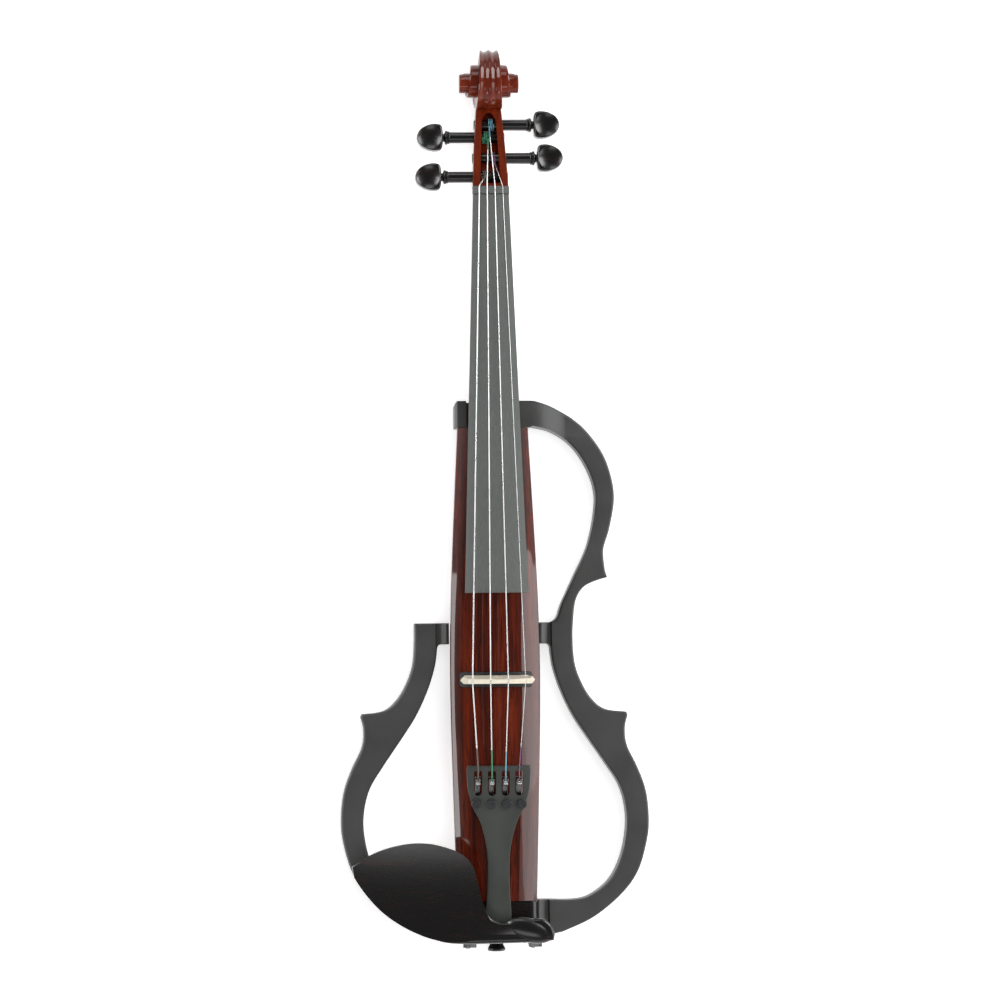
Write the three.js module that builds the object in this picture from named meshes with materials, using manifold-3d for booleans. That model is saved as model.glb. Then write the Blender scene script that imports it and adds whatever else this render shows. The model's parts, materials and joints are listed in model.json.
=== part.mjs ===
// Electric violin: a solid body core with open wing frames, lying on its flat back.
// Millimetres. The bridge stands over the origin, +Y runs to the scroll, +Z up to the strings, and +X to
// the E side.
import * as THREE from "three";
import { mergeVertices } from "three/addons/utils/BufferGeometryUtils.js";
import Module from "manifold-3d";

const wasm = await Module();
wasm.setup();

// Playing length; the lengths along the violin are shares of it
const stringLength = 328;
const boardLengthShare = 0.82317;
const bodyUpperShare = 0.5183;
const bodyLowerShare = 0.45427;
const waistPadShare = 0.11707;
const yokeLengthShare = 0.05488;
const tailBlockShare = 0.07317;
const afterLengthShare = 0.17683;

// Board and neck
const boardNutWidth = 24.2;
const boardEndWidth = 42.4;
const boardEdgeThickness = 5;
const boardRadius = 42;
const boardTopAtNut = 42;
const boardAction = 4.47;
const neckDepthAtNut = 12.4;
const neckDepthAtHeel = 14;
const heelBottom = 12;
const heelLength = 27;
const neckSideInset = 0.25;
const tenonHalfWidth = 11;
const tenonLength = 20;
const nutThickness = 5.3;
const nutRise = 0.6;
const nutSpacing = 16;

// Pegbox and scroll
const pegboxLength = 58;
const pegboxHalfAtNut = 12.1;
const pegboxHalfAtThroat = 8.3;
const pegboxFrontAtNut = 37.5;
const pegboxFrontAtThroat = 22;
const pegboxBackAtNut = 17;
const pegboxBackAtThroat = 5;
const cavityHalfAtNut = 6.8;
const cavityHalfAtThroat = 4.4;
const cavityToThroat = 8.5;
const cavityLength = pegboxLength - cavityToThroat;
const pegboxFloor = 4.5;
const pegboxCorner = 2.2;
const scrollAboveThroat = 13.3;
const scrollHeight = 25;
const scrollTopRadius = 23.4;
const scrollBackRadius = 23.4;
const scrollTurnRatio = 0.555;
const scrollTopHalf = 5.8;
const eyeHalf = 20.2;
const eyeRadius = 6.5;
const fluteDepth = 1.3;
const spiralRimDrop = 0.45;
const spiralWaistDip = 0.9;
const spiralRootDip = 0.2;
const spiralEyeInset = 2.2;
const eyeRound = 0.7;

// Body core
const bodyHalfWidth = 30.4;
const bodyCrown = 44;
const frontRise = 10;
const crownDrop = 3;
const sideDraft = 2.5;
const backCorner = 3;
const frontEdgeInset = 0.8;
const frontEdgeFall = 1.2;

// Wing frames
const boutHalfWidth = 104.2;
const frameBack = 6;
const frameThickness = 18;
const frameEdgeRound = 1.6;
const waistPadWidth = 14.4;
const waistPadCove = 9;
const yokeInset = 5.2;
const yokeHeight = 33;
const yokeRampLength = 24;
const yokeFacet = 2.8;

// Tail block, saddle and end button
const tailBlockInset = 3.4;
const tailShoulderWidth = 6;
const tailShoulderFall = 4;
const saddleHalfWidth = 9.5;
const saddleDepth = 5;
const saddleRise = 3.4;
const saddleRound = 0.6;
const buttonBelowTop = 14;
const buttonHeadRadius = 6.1;
const buttonNeckRadius = 3.4;
const buttonReach = 10.4;
const buttonPinLength = 14;
const buttonPinRound = 0.6;
const buttonNeckLength = 3.2;
const buttonNeckRise = 0.7;
const buttonFlareStart = 7;
const buttonRimLow = 8.4;
const buttonRimHigh = 9.2;
const buttonRimRound = 1.6;

// Clearances
const seatGap = 0.3;
const runGap = 0.3;
const overrun = 2;

// Bridge height above the crown of the front
const bridgeHeight = 32;

// Heights and places that follow
const boardLength = boardLengthShare * stringLength;
const bodyUpper = bodyUpperShare * stringLength;
const bodyLower = bodyLowerShare * stringLength;
const waistPadTop = waistPadShare * stringLength;
const yokeLength = yokeLengthShare * stringLength;
const tailBlockLength = tailBlockShare * stringLength;
const afterLength = afterLengthShare * stringLength;
const bodyEdge = bodyCrown - frontRise;
const yokeHalfWidth = bodyHalfWidth - yokeInset;
const tailBlockHalfWidth = bodyHalfWidth - tailBlockInset;
const tailBlockTop = bodyEdge;
const buttonHeight = tailBlockTop - buttonBelowTop;
const nutFront = stringLength;
const nutBack = nutFront + nutThickness;
const boardEnd = nutFront - boardLength;
const bodyEnd = -bodyLower;
const tailFace = bodyEnd - seatGap - tailBlockLength;
const throatY = nutBack + pegboxLength;
const yokeFrontY = bodyUpper + seatGap;
const yokeBackY = yokeFrontY + yokeLength;
const frameFront = frameBack + frameThickness;

// Share of the way from a to b
function mix(a, b, share) {
  return a + (b - a) * share;
}

// Tilt of the board that leaves the wanted room under the strings at its free end
const stringsAtBoardEnd = mix(bodyCrown + bridgeHeight, boardTopAtNut + nutRise, boardEnd / stringLength);
const neckTilt = Math.atan((stringsAtBoardEnd - boardAction - boardTopAtNut) / boardLength);

// Smooth step from 0 to 1
function ease(share) {
  const t = Math.min(Math.max(share, 0), 1);
  return t * t * (3 - 2 * t);
}

// Geometry made ready for booleans: position only, shared vertices merged, faces pointing out
function solid(geometry) {
  const bare = geometry.clone();
  bare.deleteAttribute("normal");
  bare.deleteAttribute("uv");
  const merged = mergeVertices(bare, 1e-4);
  const triVerts = new Uint32Array(merged.index.array);
  const vertProperties = new Float32Array(merged.attributes.position.array);
  let made = new wasm.Manifold(new wasm.Mesh({ numProp: 3, vertProperties, triVerts }));
  if (made.volume() < 0) {
    for (let i = 0; i < triVerts.length; i += 3) {
      const second = triVerts[i + 1];
      triVerts[i + 1] = triVerts[i + 2];
      triVerts[i + 2] = second;
    }
    made = new wasm.Manifold(new wasm.Mesh({ numProp: 3, vertProperties, triVerts }));
  }
  return made;
}

// A solid back as a three.js geometry
function geometryOf(made) {
  const mesh = made.getMesh();
  const position = new Float32Array(mesh.numVert * 3);
  for (let i = 0; i < mesh.numVert; i++) {
    position.set(mesh.vertProperties.subarray(i * mesh.numProp, i * mesh.numProp + 3), i * 3);
  }
  const geometry = new THREE.BufferGeometry();
  geometry.setAttribute("position", new THREE.BufferAttribute(position, 3));
  geometry.setIndex(new THREE.BufferAttribute(new Uint32Array(mesh.triVerts), 1));
  const flat = geometry.toNonIndexed();
  flat.computeVertexNormals();
  return flat;
}

function union(...parts) {
  return parts.reduce((whole, part) => whole.add(part));
}

function cut(whole, ...tools) {
  return tools.reduce((rest, tool) => rest.subtract(tool), whole);
}

// A box between two corners
function block(x0, x1, y0, y1, z0, z1) {
  const box = new THREE.BoxGeometry(x1 - x0, y1 - y0, z1 - z0);
  box.translate((x0 + x1) / 2, (y0 + y1) / 2, (z0 + z1) / 2);
  return solid(box);
}

// A straight round bar between two points, with a second radius at its far end
function rod(from, to, radius, farRadius = radius, sides = 20) {
  const along = new THREE.Vector3().subVectors(to, from);
  const bar = new THREE.CylinderGeometry(farRadius, radius, along.length(), sides);
  bar.translate(0, along.length() / 2, 0);
  const up = new THREE.Vector3(0, 1, 0);
  bar.applyQuaternion(new THREE.Quaternion().setFromUnitVectors(up, along.clone().normalize()));
  bar.translate(from.x, from.y, from.z);
  return solid(bar);
}

function point(x, y, z) {
  return new THREE.Vector3(x, y, z);
}

// An upright extrusion of a plan shape, from one height to another, with rounded edges where asked
function slab(shape, z0, z1, round = 0, curveSegments = 5) {
  const geometry = new THREE.ExtrudeGeometry(shape, {
    depth: z1 - z0 - 2 * round,
    bevelEnabled: round > 0,
    bevelThickness: round,
    bevelSize: round,
    bevelOffset: -round,
    bevelSegments: 1,
    curveSegments,
  });
  geometry.translate(0, 0, z0 + round);
  return solid(geometry);
}

// A closed skin through sections that all have the same number of points, with flat ends
function loft(sections, placed) {
  const count = sections[0].length;
  const position = [];
  sections.forEach((section, station) => {
    section.forEach((corner) => {
      position.push(...placed(corner, station).toArray());
    });
  });
  const index = [];
  for (let station = 0; station + 1 < sections.length; station++) {
    for (let i = 0; i < count; i++) {
      const j = (i + 1) % count;
      const a = station * count + i;
      const b = station * count + j;
      index.push(a, b, b + count, a, b + count, a + count);
    }
  }
  const middles = [0, sections.length - 1].map((station) => {
    const middle = new THREE.Vector2();
    sections[station].forEach((corner) => middle.addScaledVector(corner, 1 / count));
    position.push(...placed(middle, station).toArray());
    return position.length / 3 - 1;
  });
  const last = (sections.length - 1) * count;
  for (let i = 0; i < count; i++) {
    const j = (i + 1) % count;
    index.push(middles[0], j, i);
    index.push(middles[1], last + i, last + j);
  }
  const geometry = new THREE.BufferGeometry();
  geometry.setAttribute("position", new THREE.Float32BufferAttribute(position, 3));
  geometry.setIndex(index);
  return solid(geometry);
}

// A round tube through places, mitred where it bends
function tube(route, radius, sides) {
  const directions = route.slice(1).map((place, i) => place.clone().sub(route[i]).normalize());
  const circle = [];
  for (let k = 0; k < sides; k++) {
    const angle = (2 * Math.PI * k) / sides;
    circle.push(new THREE.Vector2(radius * Math.cos(angle), radius * Math.sin(angle)));
  }
  let side = point(1, 0, 0);
  const frames = route.map((place, i) => {
    const into = directions[Math.max(i - 1, 0)];
    const out = directions[Math.min(i, directions.length - 1)];
    const square = side.clone().addScaledVector(into, -side.dot(into)).normalize();
    const turn = new THREE.Quaternion().setFromUnitVectors(into, out);
    side = square.clone().applyQuaternion(turn);
    return { place, into, square, up: into.clone().cross(square), bisector: into.clone().add(out).normalize() };
  });
  return loft(route.map(() => circle), (corner, station) => {
    const { place, into, square, up, bisector } = frames[station];
    const spoke = square.clone().multiplyScalar(corner.x).addScaledVector(up, corner.y);
    return spoke.addScaledVector(into, -spoke.dot(bisector) / into.dot(bisector)).add(place);
  });
}

// A rectangle with round corners, as a plan shape about a centre
function roundedPlan(cx, cy, width, height, radius) {
  const shape = new THREE.Shape();
  const x = width / 2 - radius;
  const y = height / 2 - radius;
  shape.absarc(cx + x, cy - y, radius, -Math.PI / 2, 0, false);
  shape.absarc(cx + x, cy + y, radius, 0, Math.PI / 2, false);
  shape.absarc(cx - x, cy + y, radius, Math.PI / 2, Math.PI, false);
  shape.absarc(cx - x, cy - y, radius, Math.PI, 1.5 * Math.PI, false);
  shape.closePath();
  return shape;
}

const violin = new THREE.Group();

function finish(color, roughness, metalness = 0) {
  return new THREE.MeshStandardMaterial({ color, roughness, metalness, flatShading: true });
}

function addPiece(name, made, material, group = violin) {
  const mesh = new THREE.Mesh(geometryOf(made), material);
  mesh.name = name;
  group.add(mesh);
  return mesh;
}

const redWood = finish(0x6e2212, 0.25);
const ebony = finish(0x17171a, 0.45);
const boardBlack = finish(0x2a2c2d, 0.7);
const satinBlack = finish(0x222426, 0.55);
const maple = finish(0xe8dcc0, 0.6);
const steel = finish(0xc4c6c8, 0.3, 1);
const blackPlastic = finish(0x141416, 0.5);
const cork = finish(0xb98a58, 0.95);
const boardGreen = finish(0x1f5b3a, 0.6);
const cellBlack = finish(0x2b2b30, 0.4);
const silks = [finish(0x6b6a60, 0.8), finish(0x2e9a68, 0.8), finish(0x5fb2dc, 0.8), finish(0x7c4a78, 0.8)];

// The line of the board's crown, falling from the bridge side to the nut
function boardCrownAt(y) {
  return boardTopAtNut + (nutFront - y) * Math.tan(neckTilt);
}

function boardHalfAt(y) {
  return mix(boardNutWidth, boardEndWidth, (nutFront - y) / boardLength) / 2;
}

// How far an arc of the board's radius falls at a distance from its middle
function crownFall(x) {
  return boardRadius - Math.sqrt(boardRadius * boardRadius - x * x);
}

function boardUndersideAt(y) {
  return boardCrownAt(y) - crownFall(boardHalfAt(y)) - boardEdgeThickness;
}

// Fingerboard: arched on top, its underside scooped out where it runs free above the body
function makeFingerboard() {
  const freeEnd = boardEnd + boardLength / 5;
  const stations = [nutFront - seatGap, mix(nutFront, boardEnd, 1 / 3), yokeFrontY, freeEnd, boardEnd];
  const steps = 8;
  const scoopShares = [0, 0, 0.1, 0.42, 0.42];
  const sections = stations.map((y, station) => {
    const half = boardHalfAt(y);
    const section = [];
    for (let i = 0; i <= steps; i++) {
      const x = mix(half, -half, i / steps);
      section.push(new THREE.Vector2(x, boardCrownAt(y) - crownFall(x)));
    }
    for (let i = 0; i <= steps; i++) {
      const across = mix(-1, 1, i / steps);
      const scoop = scoopShares[station] * boardEdgeThickness * (1 - across * across);
      section.push(new THREE.Vector2(across * half, boardUndersideAt(y) + scoop));
    }
    return section;
  });
  return loft(sections, (corner, station) => point(corner.x, stations[station], corner.y));
}
addPiece("fingerboard", makeFingerboard(), boardBlack);

// Front and back lines of the pegbox
function pegboxShare(y) {
  return (y - nutBack) / pegboxLength;
}

function pegboxFrontAt(y) {
  return mix(pegboxFrontAtNut, pegboxFrontAtThroat, pegboxShare(y));
}

function pegboxBackAt(y) {
  return mix(pegboxBackAtNut, pegboxBackAtThroat, ease(pegboxShare(y)));
}

function pegboxHalfAt(y) {
  return mix(pegboxHalfAtNut, pegboxHalfAtThroat, Math.pow(Math.max(pegboxShare(y), 0), 1.3));
}

// Neck shaft and heel: flat under the board, round behind, deepening into the heel that passes the yoke
function makeNeckShaft() {
  const heelStart = yokeBackY + heelLength;
  const handStations = 5;
  const heelStations = 6;
  const stations = [nutBack + seatGap];
  for (let i = 0; i <= handStations; i++) {
    stations.push(mix(nutFront, heelStart, i / handStations));
  }
  for (let i = 1; i <= heelStations; i++) {
    stations.push(mix(heelStart, yokeBackY, i / heelStations));
  }
  stations.push(yokeFrontY);
  const arcSteps = 12;
  const sections = stations.map((y) => {
    const top = boardUndersideAt(Math.min(y, nutFront)) - seatGap;
    const half = boardHalfAt(Math.min(y, nutFront)) - neckSideInset;
    const hand = mix(neckDepthAtNut, neckDepthAtHeel, (nutFront - y) / (nutFront - yokeBackY));
    const heelShare = ease(Math.pow(Math.max((heelStart - y) / heelLength, 0), 1.25));
    const depth = mix(hand, top - heelBottom, heelShare);
    const squareness = mix(1, 0.55, heelShare);
    const section = [];
    for (let i = 0; i <= arcSteps; i++) {
      const angle = (Math.PI * i) / arcSteps;
      const side = Math.sign(Math.cos(angle)) * Math.pow(Math.abs(Math.cos(angle)), squareness);
      section.push(new THREE.Vector2(side * half, top - depth * Math.pow(Math.sin(angle), squareness)));
    }
    return section;
  });
  return loft(sections, (corner, station) => point(corner.x, stations[station], corner.y));
}

// The tapering box behind the nut that holds the pegs, open at the front
function makePegbox() {
  const stations = [0, 0.25, 0.5, 0.75, 1, 1.1].map((share) => nutBack + seatGap + share * pegboxLength);
  const outer = stations.map((y) => {
    const half = pegboxHalfAt(y);
    const front = pegboxFrontAt(y);
    const back = pegboxBackAt(y);
    return [
      new THREE.Vector2(half, front - pegboxCorner / 3),
      new THREE.Vector2(half - pegboxCorner / 3, front),
      new THREE.Vector2(-half + pegboxCorner / 3, front),
      new THREE.Vector2(-half, front - pegboxCorner / 3),
      new THREE.Vector2(-half, back + 2 * pegboxCorner),
      new THREE.Vector2(-half + pegboxCorner, back + pegboxCorner / 2),
      new THREE.Vector2(0, back),
      new THREE.Vector2(half - pegboxCorner, back + pegboxCorner / 2),
      new THREE.Vector2(half, back + 2 * pegboxCorner),
    ];
  });
  const box = loft(outer, (corner, station) => point(corner.x, stations[station], corner.y));
  const cavityStart = nutBack + pegboxFloor / 2;
  const endShares = [0, 0.3, 0.6, 0.84, 0.92, 0.97, 1];
  const cavity = endShares.map((share) => {
    const y = cavityStart + share * cavityLength;
    const round = Math.max((share - 0.84) / 0.16, 0);
    const half = mix(cavityHalfAtNut, cavityHalfAtThroat, share) * Math.sqrt(1.04 - round * round);
    const floor = pegboxBackAt(y) + pegboxFloor;
    const mouth = pegboxFrontAt(y) + overrun;
    return [
      new THREE.Vector2(half, mouth),
      new THREE.Vector2(-half, mouth),
      new THREE.Vector2(-half, floor + pegboxCorner),
      new THREE.Vector2(-half * 0.8, floor),
      new THREE.Vector2(half * 0.8, floor),
      new THREE.Vector2(half, floor + pegboxCorner),
    ];
  });
  const hollow = loft(cavity, (corner, station) => {
    return point(corner.x, cavityStart + endShares[station] * cavityLength, corner.y);
  });
  return { box, hollow };
}

// Scroll: a fluted spiral in the side view that widens turn by turn to the eye
const scrollY = throatY + scrollAboveThroat;
const scrollTurns = 2.35;

// Radius of the spiral's outer face. Turn 0 is straight up, and it runs forward and down from there.
function scrollRadiusAt(turn) {
  const closing = scrollTopRadius * Math.pow(scrollTurnRatio, Math.max(turn, 0));
  return turn < 0 ? mix(scrollTopRadius, scrollBackRadius, Math.min(-turn * 4, 1)) : closing;
}

// Half width of the carving at a turn
function scrollHalfAt(turn) {
  const rise = Math.max(turn, 0) / (scrollTurns - 0.3);
  return mix(scrollTopHalf, eyeHalf - spiralEyeInset, Math.pow(Math.min(rise, 1), 0.92));
}

function scrollPoint(turn, radius, x) {
  const angle = turn * 2 * Math.PI;
  return point(x, scrollY + radius * Math.cos(angle), scrollHeight + radius * Math.sin(angle));
}

// One stretch of the spiral wall: a fluted rim outside, cheeks that dip between the rim and the next turn
// inside
function spiralStretch(fromTurn, toTurn, stepsPerTurn) {
  const steps = Math.ceil((toTurn - fromTurn) * stepsPerTurn);
  const acrossShares = [-1, -0.88, -0.66, -0.33, 0, 0.33, 0.66, 0.88, 1];
  const sections = [];
  const turns = [];
  for (let i = 0; i <= steps; i++) {
    const turn = mix(fromTurn, toTurn, i / steps);
    const half = scrollHalfAt(turn);
    const outer = scrollRadiusAt(turn);
    const inner = Math.max(scrollRadiusAt(turn + 1) - overrun / 2, eyeRadius / 3);
    const flute = fluteDepth * (1 - ease((turn - 0.45) / 0.3));
    const rim = acrossShares.map((share) => {
      const bowl = Math.abs(share) > 0.95 ? spiralRimDrop : 0;
      const dip = flute * Math.pow(Math.sin(Math.PI * share), 2);
      return new THREE.Vector2(share * half, outer - dip - bowl);
    });
    const waist = mix(outer, inner, 0.55);
    turns.push(turn);
    sections.push([
      ...rim,
      new THREE.Vector2(half - spiralWaistDip, waist),
      new THREE.Vector2(half - spiralRootDip, inner),
      new THREE.Vector2(-half + spiralRootDip, inner),
      new THREE.Vector2(-half + spiralWaistDip, waist),
    ]);
  }
  return loft(sections, (corner, station) => scrollPoint(turns[station], corner.y, corner.x));
}

function makeScroll() {
  const stepsPerTurn = 16;
  let carving = spiralStretch(-0.27, 0.6, stepsPerTurn);
  carving = carving.add(spiralStretch(0.55, 1.4, stepsPerTurn));
  carving = carving.add(spiralStretch(1.35, scrollTurns, stepsPerTurn));
  const rimProfile = [
    new THREE.Vector2(0, -eyeHalf),
    new THREE.Vector2(eyeRadius - eyeRound, -eyeHalf),
    new THREE.Vector2(eyeRadius, -eyeHalf + eyeRound),
    new THREE.Vector2(eyeRadius, eyeHalf - eyeRound),
    new THREE.Vector2(eyeRadius - eyeRound, eyeHalf),
    new THREE.Vector2(0, eyeHalf),
  ];
  const eyes = new THREE.LatheGeometry(rimProfile, 20);
  eyes.rotateZ(Math.PI / 2);
  eyes.translate(0, scrollY, scrollHeight);
  return carving.add(solid(eyes));
}

// Peg places: the side each peg is turned from, and its distance behind the nut as a share of the pegbox
const pegs = [
  { name: "g", side: -1, share: 0.126, stringX: -1.5 },
  { name: "d", side: -1, share: 0.605, stringX: -0.5 },
  { name: "a", side: 1, share: 0.757, stringX: 0 },
  { name: "e", side: 1, share: 0.352, stringX: 1.5 },
];
const pegCheekRadius = 3.75;
const pegTaper = 1 / 60;
const pegShaftLength = 16.6;
const pegCollarRadius = 4.85;
const pegCollarLength = 3.1;
const pegWaistRadius = 2.7;
const pegHeadStart = 21.2;
const pegHeadLength = 17.7;
const pegHeadWidth = 18.3;
const pegHeadThickness = 11;
const pegDishDepth = 1.9;
const pegDishRadius = 19;
const pegTipReach = 0.6;
const pegTipRound = 0.6;
const pegStep = 0.1;
const pegGrooveDepth = 0.45;
const pegRingRound = 0.5;
const pegHeadNeck = 3;
const pegHeadRound = 1.4;

function pegY(peg) {
  return nutBack + peg.share * pegboxLength;
}

function pegZ(peg) {
  return (pegboxFrontAt(pegY(peg)) + pegboxBackAt(pegY(peg)) + pegboxFloor) / 2 - seatGap;
}

function pegRadiusInside(depth) {
  return pegCheekRadius - depth * pegTaper;
}

// Peg turned along X: tapered shank through both cheeks, collars, waist and a dished thumb piece
function makePeg(peg) {
  const half = pegboxHalfAt(pegY(peg));
  const inside = 2 * half + pegTipReach;
  const collarStart = pegShaftLength;
  const collarMiddle = collarStart + pegCollarLength / 3;
  const collarEnd = collarStart + pegCollarLength;
  const profile = [
    new THREE.Vector2(0, -inside),
    new THREE.Vector2(pegRadiusInside(inside) - pegTipRound, -inside),
    new THREE.Vector2(pegRadiusInside(inside), -inside + pegTipRound),
    new THREE.Vector2(pegCheekRadius, 0),
    new THREE.Vector2(pegCheekRadius + pegStep, collarStart),
    new THREE.Vector2(pegCollarRadius - pegGrooveDepth, collarStart + pegStep),
    new THREE.Vector2(pegCollarRadius - pegGrooveDepth, collarMiddle - pegStep),
    new THREE.Vector2(pegCheekRadius + 2 * pegStep, collarMiddle),
    new THREE.Vector2(pegCollarRadius, collarMiddle + pegRingRound),
    new THREE.Vector2(pegCollarRadius, collarEnd - pegRingRound),
    new THREE.Vector2(pegWaistRadius + pegRingRound, collarEnd),
    new THREE.Vector2(pegWaistRadius, pegHeadStart - pegRingRound),
    new THREE.Vector2(pegWaistRadius + pegRingRound, pegHeadStart + pegHeadNeck),
    new THREE.Vector2(0, pegHeadStart + pegHeadNeck),
  ];
  const turned = new THREE.LatheGeometry(profile, 12);
  turned.rotateZ(-Math.PI / 2);
  const thumb = new THREE.Shape();
  const w = pegHeadWidth / 2;
  const l = pegHeadLength;
  thumb.moveTo(0, -0.3 * w);
  thumb.bezierCurveTo(0.06 * l, -0.75 * w, 0.02 * l, -0.95 * w, 0.2 * l, -w);
  thumb.bezierCurveTo(0.62 * l, -1.02 * w, l, -0.7 * w, l, 0);
  thumb.bezierCurveTo(l, 0.7 * w, 0.62 * l, 1.02 * w, 0.2 * l, w);
  thumb.bezierCurveTo(0.02 * l, 0.95 * w, 0.06 * l, 0.75 * w, 0, 0.3 * w);
  thumb.closePath();
  const halfThickness = pegHeadThickness / 2;
  let head = slab(thumb, -halfThickness, halfThickness, pegHeadRound, 4);
  for (const face of [-1, 1]) {
    const dish = new THREE.SphereGeometry(pegDishRadius, 14, 14);
    dish.rotateX(Math.PI / 2);
    dish.translate(l * 0.52, 0, face * (halfThickness - pegDishDepth + pegDishRadius));
    head = head.subtract(solid(dish));
  }
  const placedHead = head.translate([pegHeadStart, 0, 0]);
  const whole = solid(turned).add(placedHead).translate([half, 0, 0]);
  const aimed = peg.side > 0 ? whole : whole.rotate([0, 0, 180]);
  return aimed.translate([0, pegY(peg), pegZ(peg)]);
}

function makePegHole(peg) {
  const reach = pegboxHalfAtNut + overrun;
  const clear = pegCheekRadius + runGap + pegStep;
  return rod(point(-reach, pegY(peg), pegZ(peg)), point(reach, pegY(peg), pegZ(peg)), clear, clear, 16);
}

function makeNeck() {
  const { box, hollow } = makePegbox();
  const tenonBottom = heelBottom + seatGap;
  const tenonTop = boardUndersideAt(bodyUpper - tenonLength) - seatGap - overrun;
  const tenon = block(
    -tenonHalfWidth, tenonHalfWidth, bodyUpper - tenonLength + seatGap,
    yokeFrontY + overrun, tenonBottom, tenonTop,
  );
  let neck = union(makeNeckShaft(), box, makeScroll(), tenon);
  neck = neck.subtract(hollow);
  const nutBed = block(
    -boardNutWidth, boardNutWidth, nutFront - seatGap / 2,
    nutBack + seatGap, nutBedHeight, boardTopAtNut + overrun,
  );
  neck = neck.subtract(nutBed);
  return cut(neck, ...pegs.map(makePegHole));
}
const nutBedHeight = boardUndersideAt(nutFront) - seatGap;
addPiece("neck_and_scroll", makeNeck(), redWood);
for (const peg of pegs) {
  addPiece("peg_" + peg.name, makePeg(peg), ebony);
}

// String places across the nut, bridge and tailpiece, from the G string to the E string
const bridgeSpacing = 35.5;
const stringNames = ["g", "d", "a", "e"];
const stringRadii = [0.42, 0.38, 0.34, 0.2];
const stringShares = [-0.5, -1 / 6, 1 / 6, 0.5];
const notchDepth = 0.5;
const notchClear = 0.25;
const nutFall = 1.6;

function stringRadius(i) {
  return stringRadii[i];
}

// Centre of a string where it leaves the nut for the board
function stringAtNut(i) {
  const x = stringShares[i] * nutSpacing;
  return point(x, nutFront, boardTopAtNut + nutRise - crownFall(x) + stringRadius(i) - notchDepth);
}

// Nut: follows the board's arch a little above it, with a notch for each string
function makeNut() {
  const half = boardNutWidth / 2 + neckSideInset;
  const steps = 10;
  const section = [];
  for (let i = 0; i <= steps; i++) {
    const x = mix(half, -half, i / steps);
    section.push(new THREE.Vector2(x, boardTopAtNut + nutRise - crownFall(x)));
  }
  section.push(new THREE.Vector2(-half, nutBedHeight + seatGap));
  section.push(new THREE.Vector2(half, nutBedHeight + seatGap));
  const fallen = section.map((corner, i) => {
    return new THREE.Vector2(corner.x, corner.y - (i <= steps ? nutFall : 0));
  });
  const ys = [nutFront, nutBack];
  const bar = loft([section, fallen], (corner, station) => point(corner.x, ys[station], corner.y));
  return cut(bar, ...stringNames.map((name, i) => makeNotch(i)));
}

// Half width of the body core along its length: shares of the length from the top end, and of the
// greatest half width
const bodyPlanShares = [
  [0, 0.79],
  [0.125, 0.86],
  [0.26, 0.93],
  [0.37, 0.975],
  [0.49, 1],
  [0.62, 0.995],
  [0.8, 0.95],
  [1, 0.893],
];
const bodyPlan = new THREE.SplineCurve(bodyPlanShares.map(([along, wide]) => {
  return new THREE.Vector2(mix(bodyUpper, bodyEnd, along), wide * bodyHalfWidth);
}));
const bodyPlanPoints = bodyPlan.getPoints(48);

function bodyHalfAt(y) {
  const next = bodyPlanPoints.findIndex((corner) => corner.x <= y);
  if (next <= 0) {
    return bodyPlanPoints[0].y;
  }
  const above = bodyPlanPoints[next - 1];
  const below = bodyPlanPoints[next];
  return mix(above.y, below.y, (above.x - y) / (above.x - below.x));
}

function bodyFallAt(y) {
  return crownDrop * Math.pow(y / bodyUpper, 2);
}

// Height of the arched front at a place, kept to the arc between the crown and the edge
function bodyTopAt(x, y) {
  const half = bodyHalfAt(y);
  const rise = bodyCrown - bodyEdge;
  const radius = (bodyHalfWidth * bodyHalfWidth + rise * rise) / (2 * rise);
  const across = Math.min(Math.abs(x), half) * bodyHalfWidth / half;
  return bodyCrown - bodyFallAt(y) - (radius - Math.sqrt(radius * radius - across * across));
}

// Body core: flat back, sides that lean in a little, arched front
function makeCore(lift, stationCount) {
  const stations = [];
  for (let i = 0; i <= stationCount; i++) {
    stations.push(mix(bodyUpper, bodyEnd, i / stationCount));
  }
  const arcSteps = 10;
  const sections = stations.map((y) => {
    const half = bodyHalfAt(y);
    const section = [];
    for (let i = 0; i <= arcSteps; i++) {
      const x = mix(half - frontEdgeInset, -half + frontEdgeInset, i / arcSteps);
      section.push(new THREE.Vector2(x, bodyTopAt(x, y) + lift));
    }
    section.push(new THREE.Vector2(-half, bodyTopAt(half, y) - frontEdgeFall + lift));
    section.push(new THREE.Vector2(-half + sideDraft, backCorner));
    section.push(new THREE.Vector2(-half + sideDraft + backCorner, 0));
    section.push(new THREE.Vector2(half - sideDraft - backCorner, 0));
    section.push(new THREE.Vector2(half - sideDraft, backCorner));
    section.push(new THREE.Vector2(half, bodyTopAt(half, y) - frontEdgeFall + lift));
    return section;
  });
  return loft(sections, (corner, station) => point(corner.x, stations[station], corner.y));
}

// Back of the body: battery bay with a sliding door, and the control bay with its cover
const batteryLength = 48.5;
const batteryWidth = 26.5;
const batteryDepth = 17.5;
const bayClear = 1;
const bayTop = 22;
const doorThickness = 2;
const doorLip = 3.5;
const doorRail = 1.2;
const doorTravel = 20;
const batteryBayY = bodyUpper * 0.33529;
const controlBayLength = 66;
const controlBayFromTail = 32;
const controlBayY = bodyEnd + controlBayFromTail + controlBayLength / 2;
const controlBayWidth = 40;
const controlBayTop = 26;
const jackFromBay = 9.5;
const phonesFromJack = 13;
const jackY = controlBayY - controlBayLength / 2 - jackFromBay;
const phonesY = jackY - phonesFromJack;
const coverThickness = 2.4;
const coverLip = 4;
const coverRecess = 0.4;
const knobHeight = 6.2;
const knobFromBayEnd = 15;
const knobY = controlBayY + controlBayLength / 2 - knobFromBayEnd;
const knobSpacing = controlBayWidth / 2 - bayClear;
const switchFromBay = 8;
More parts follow.
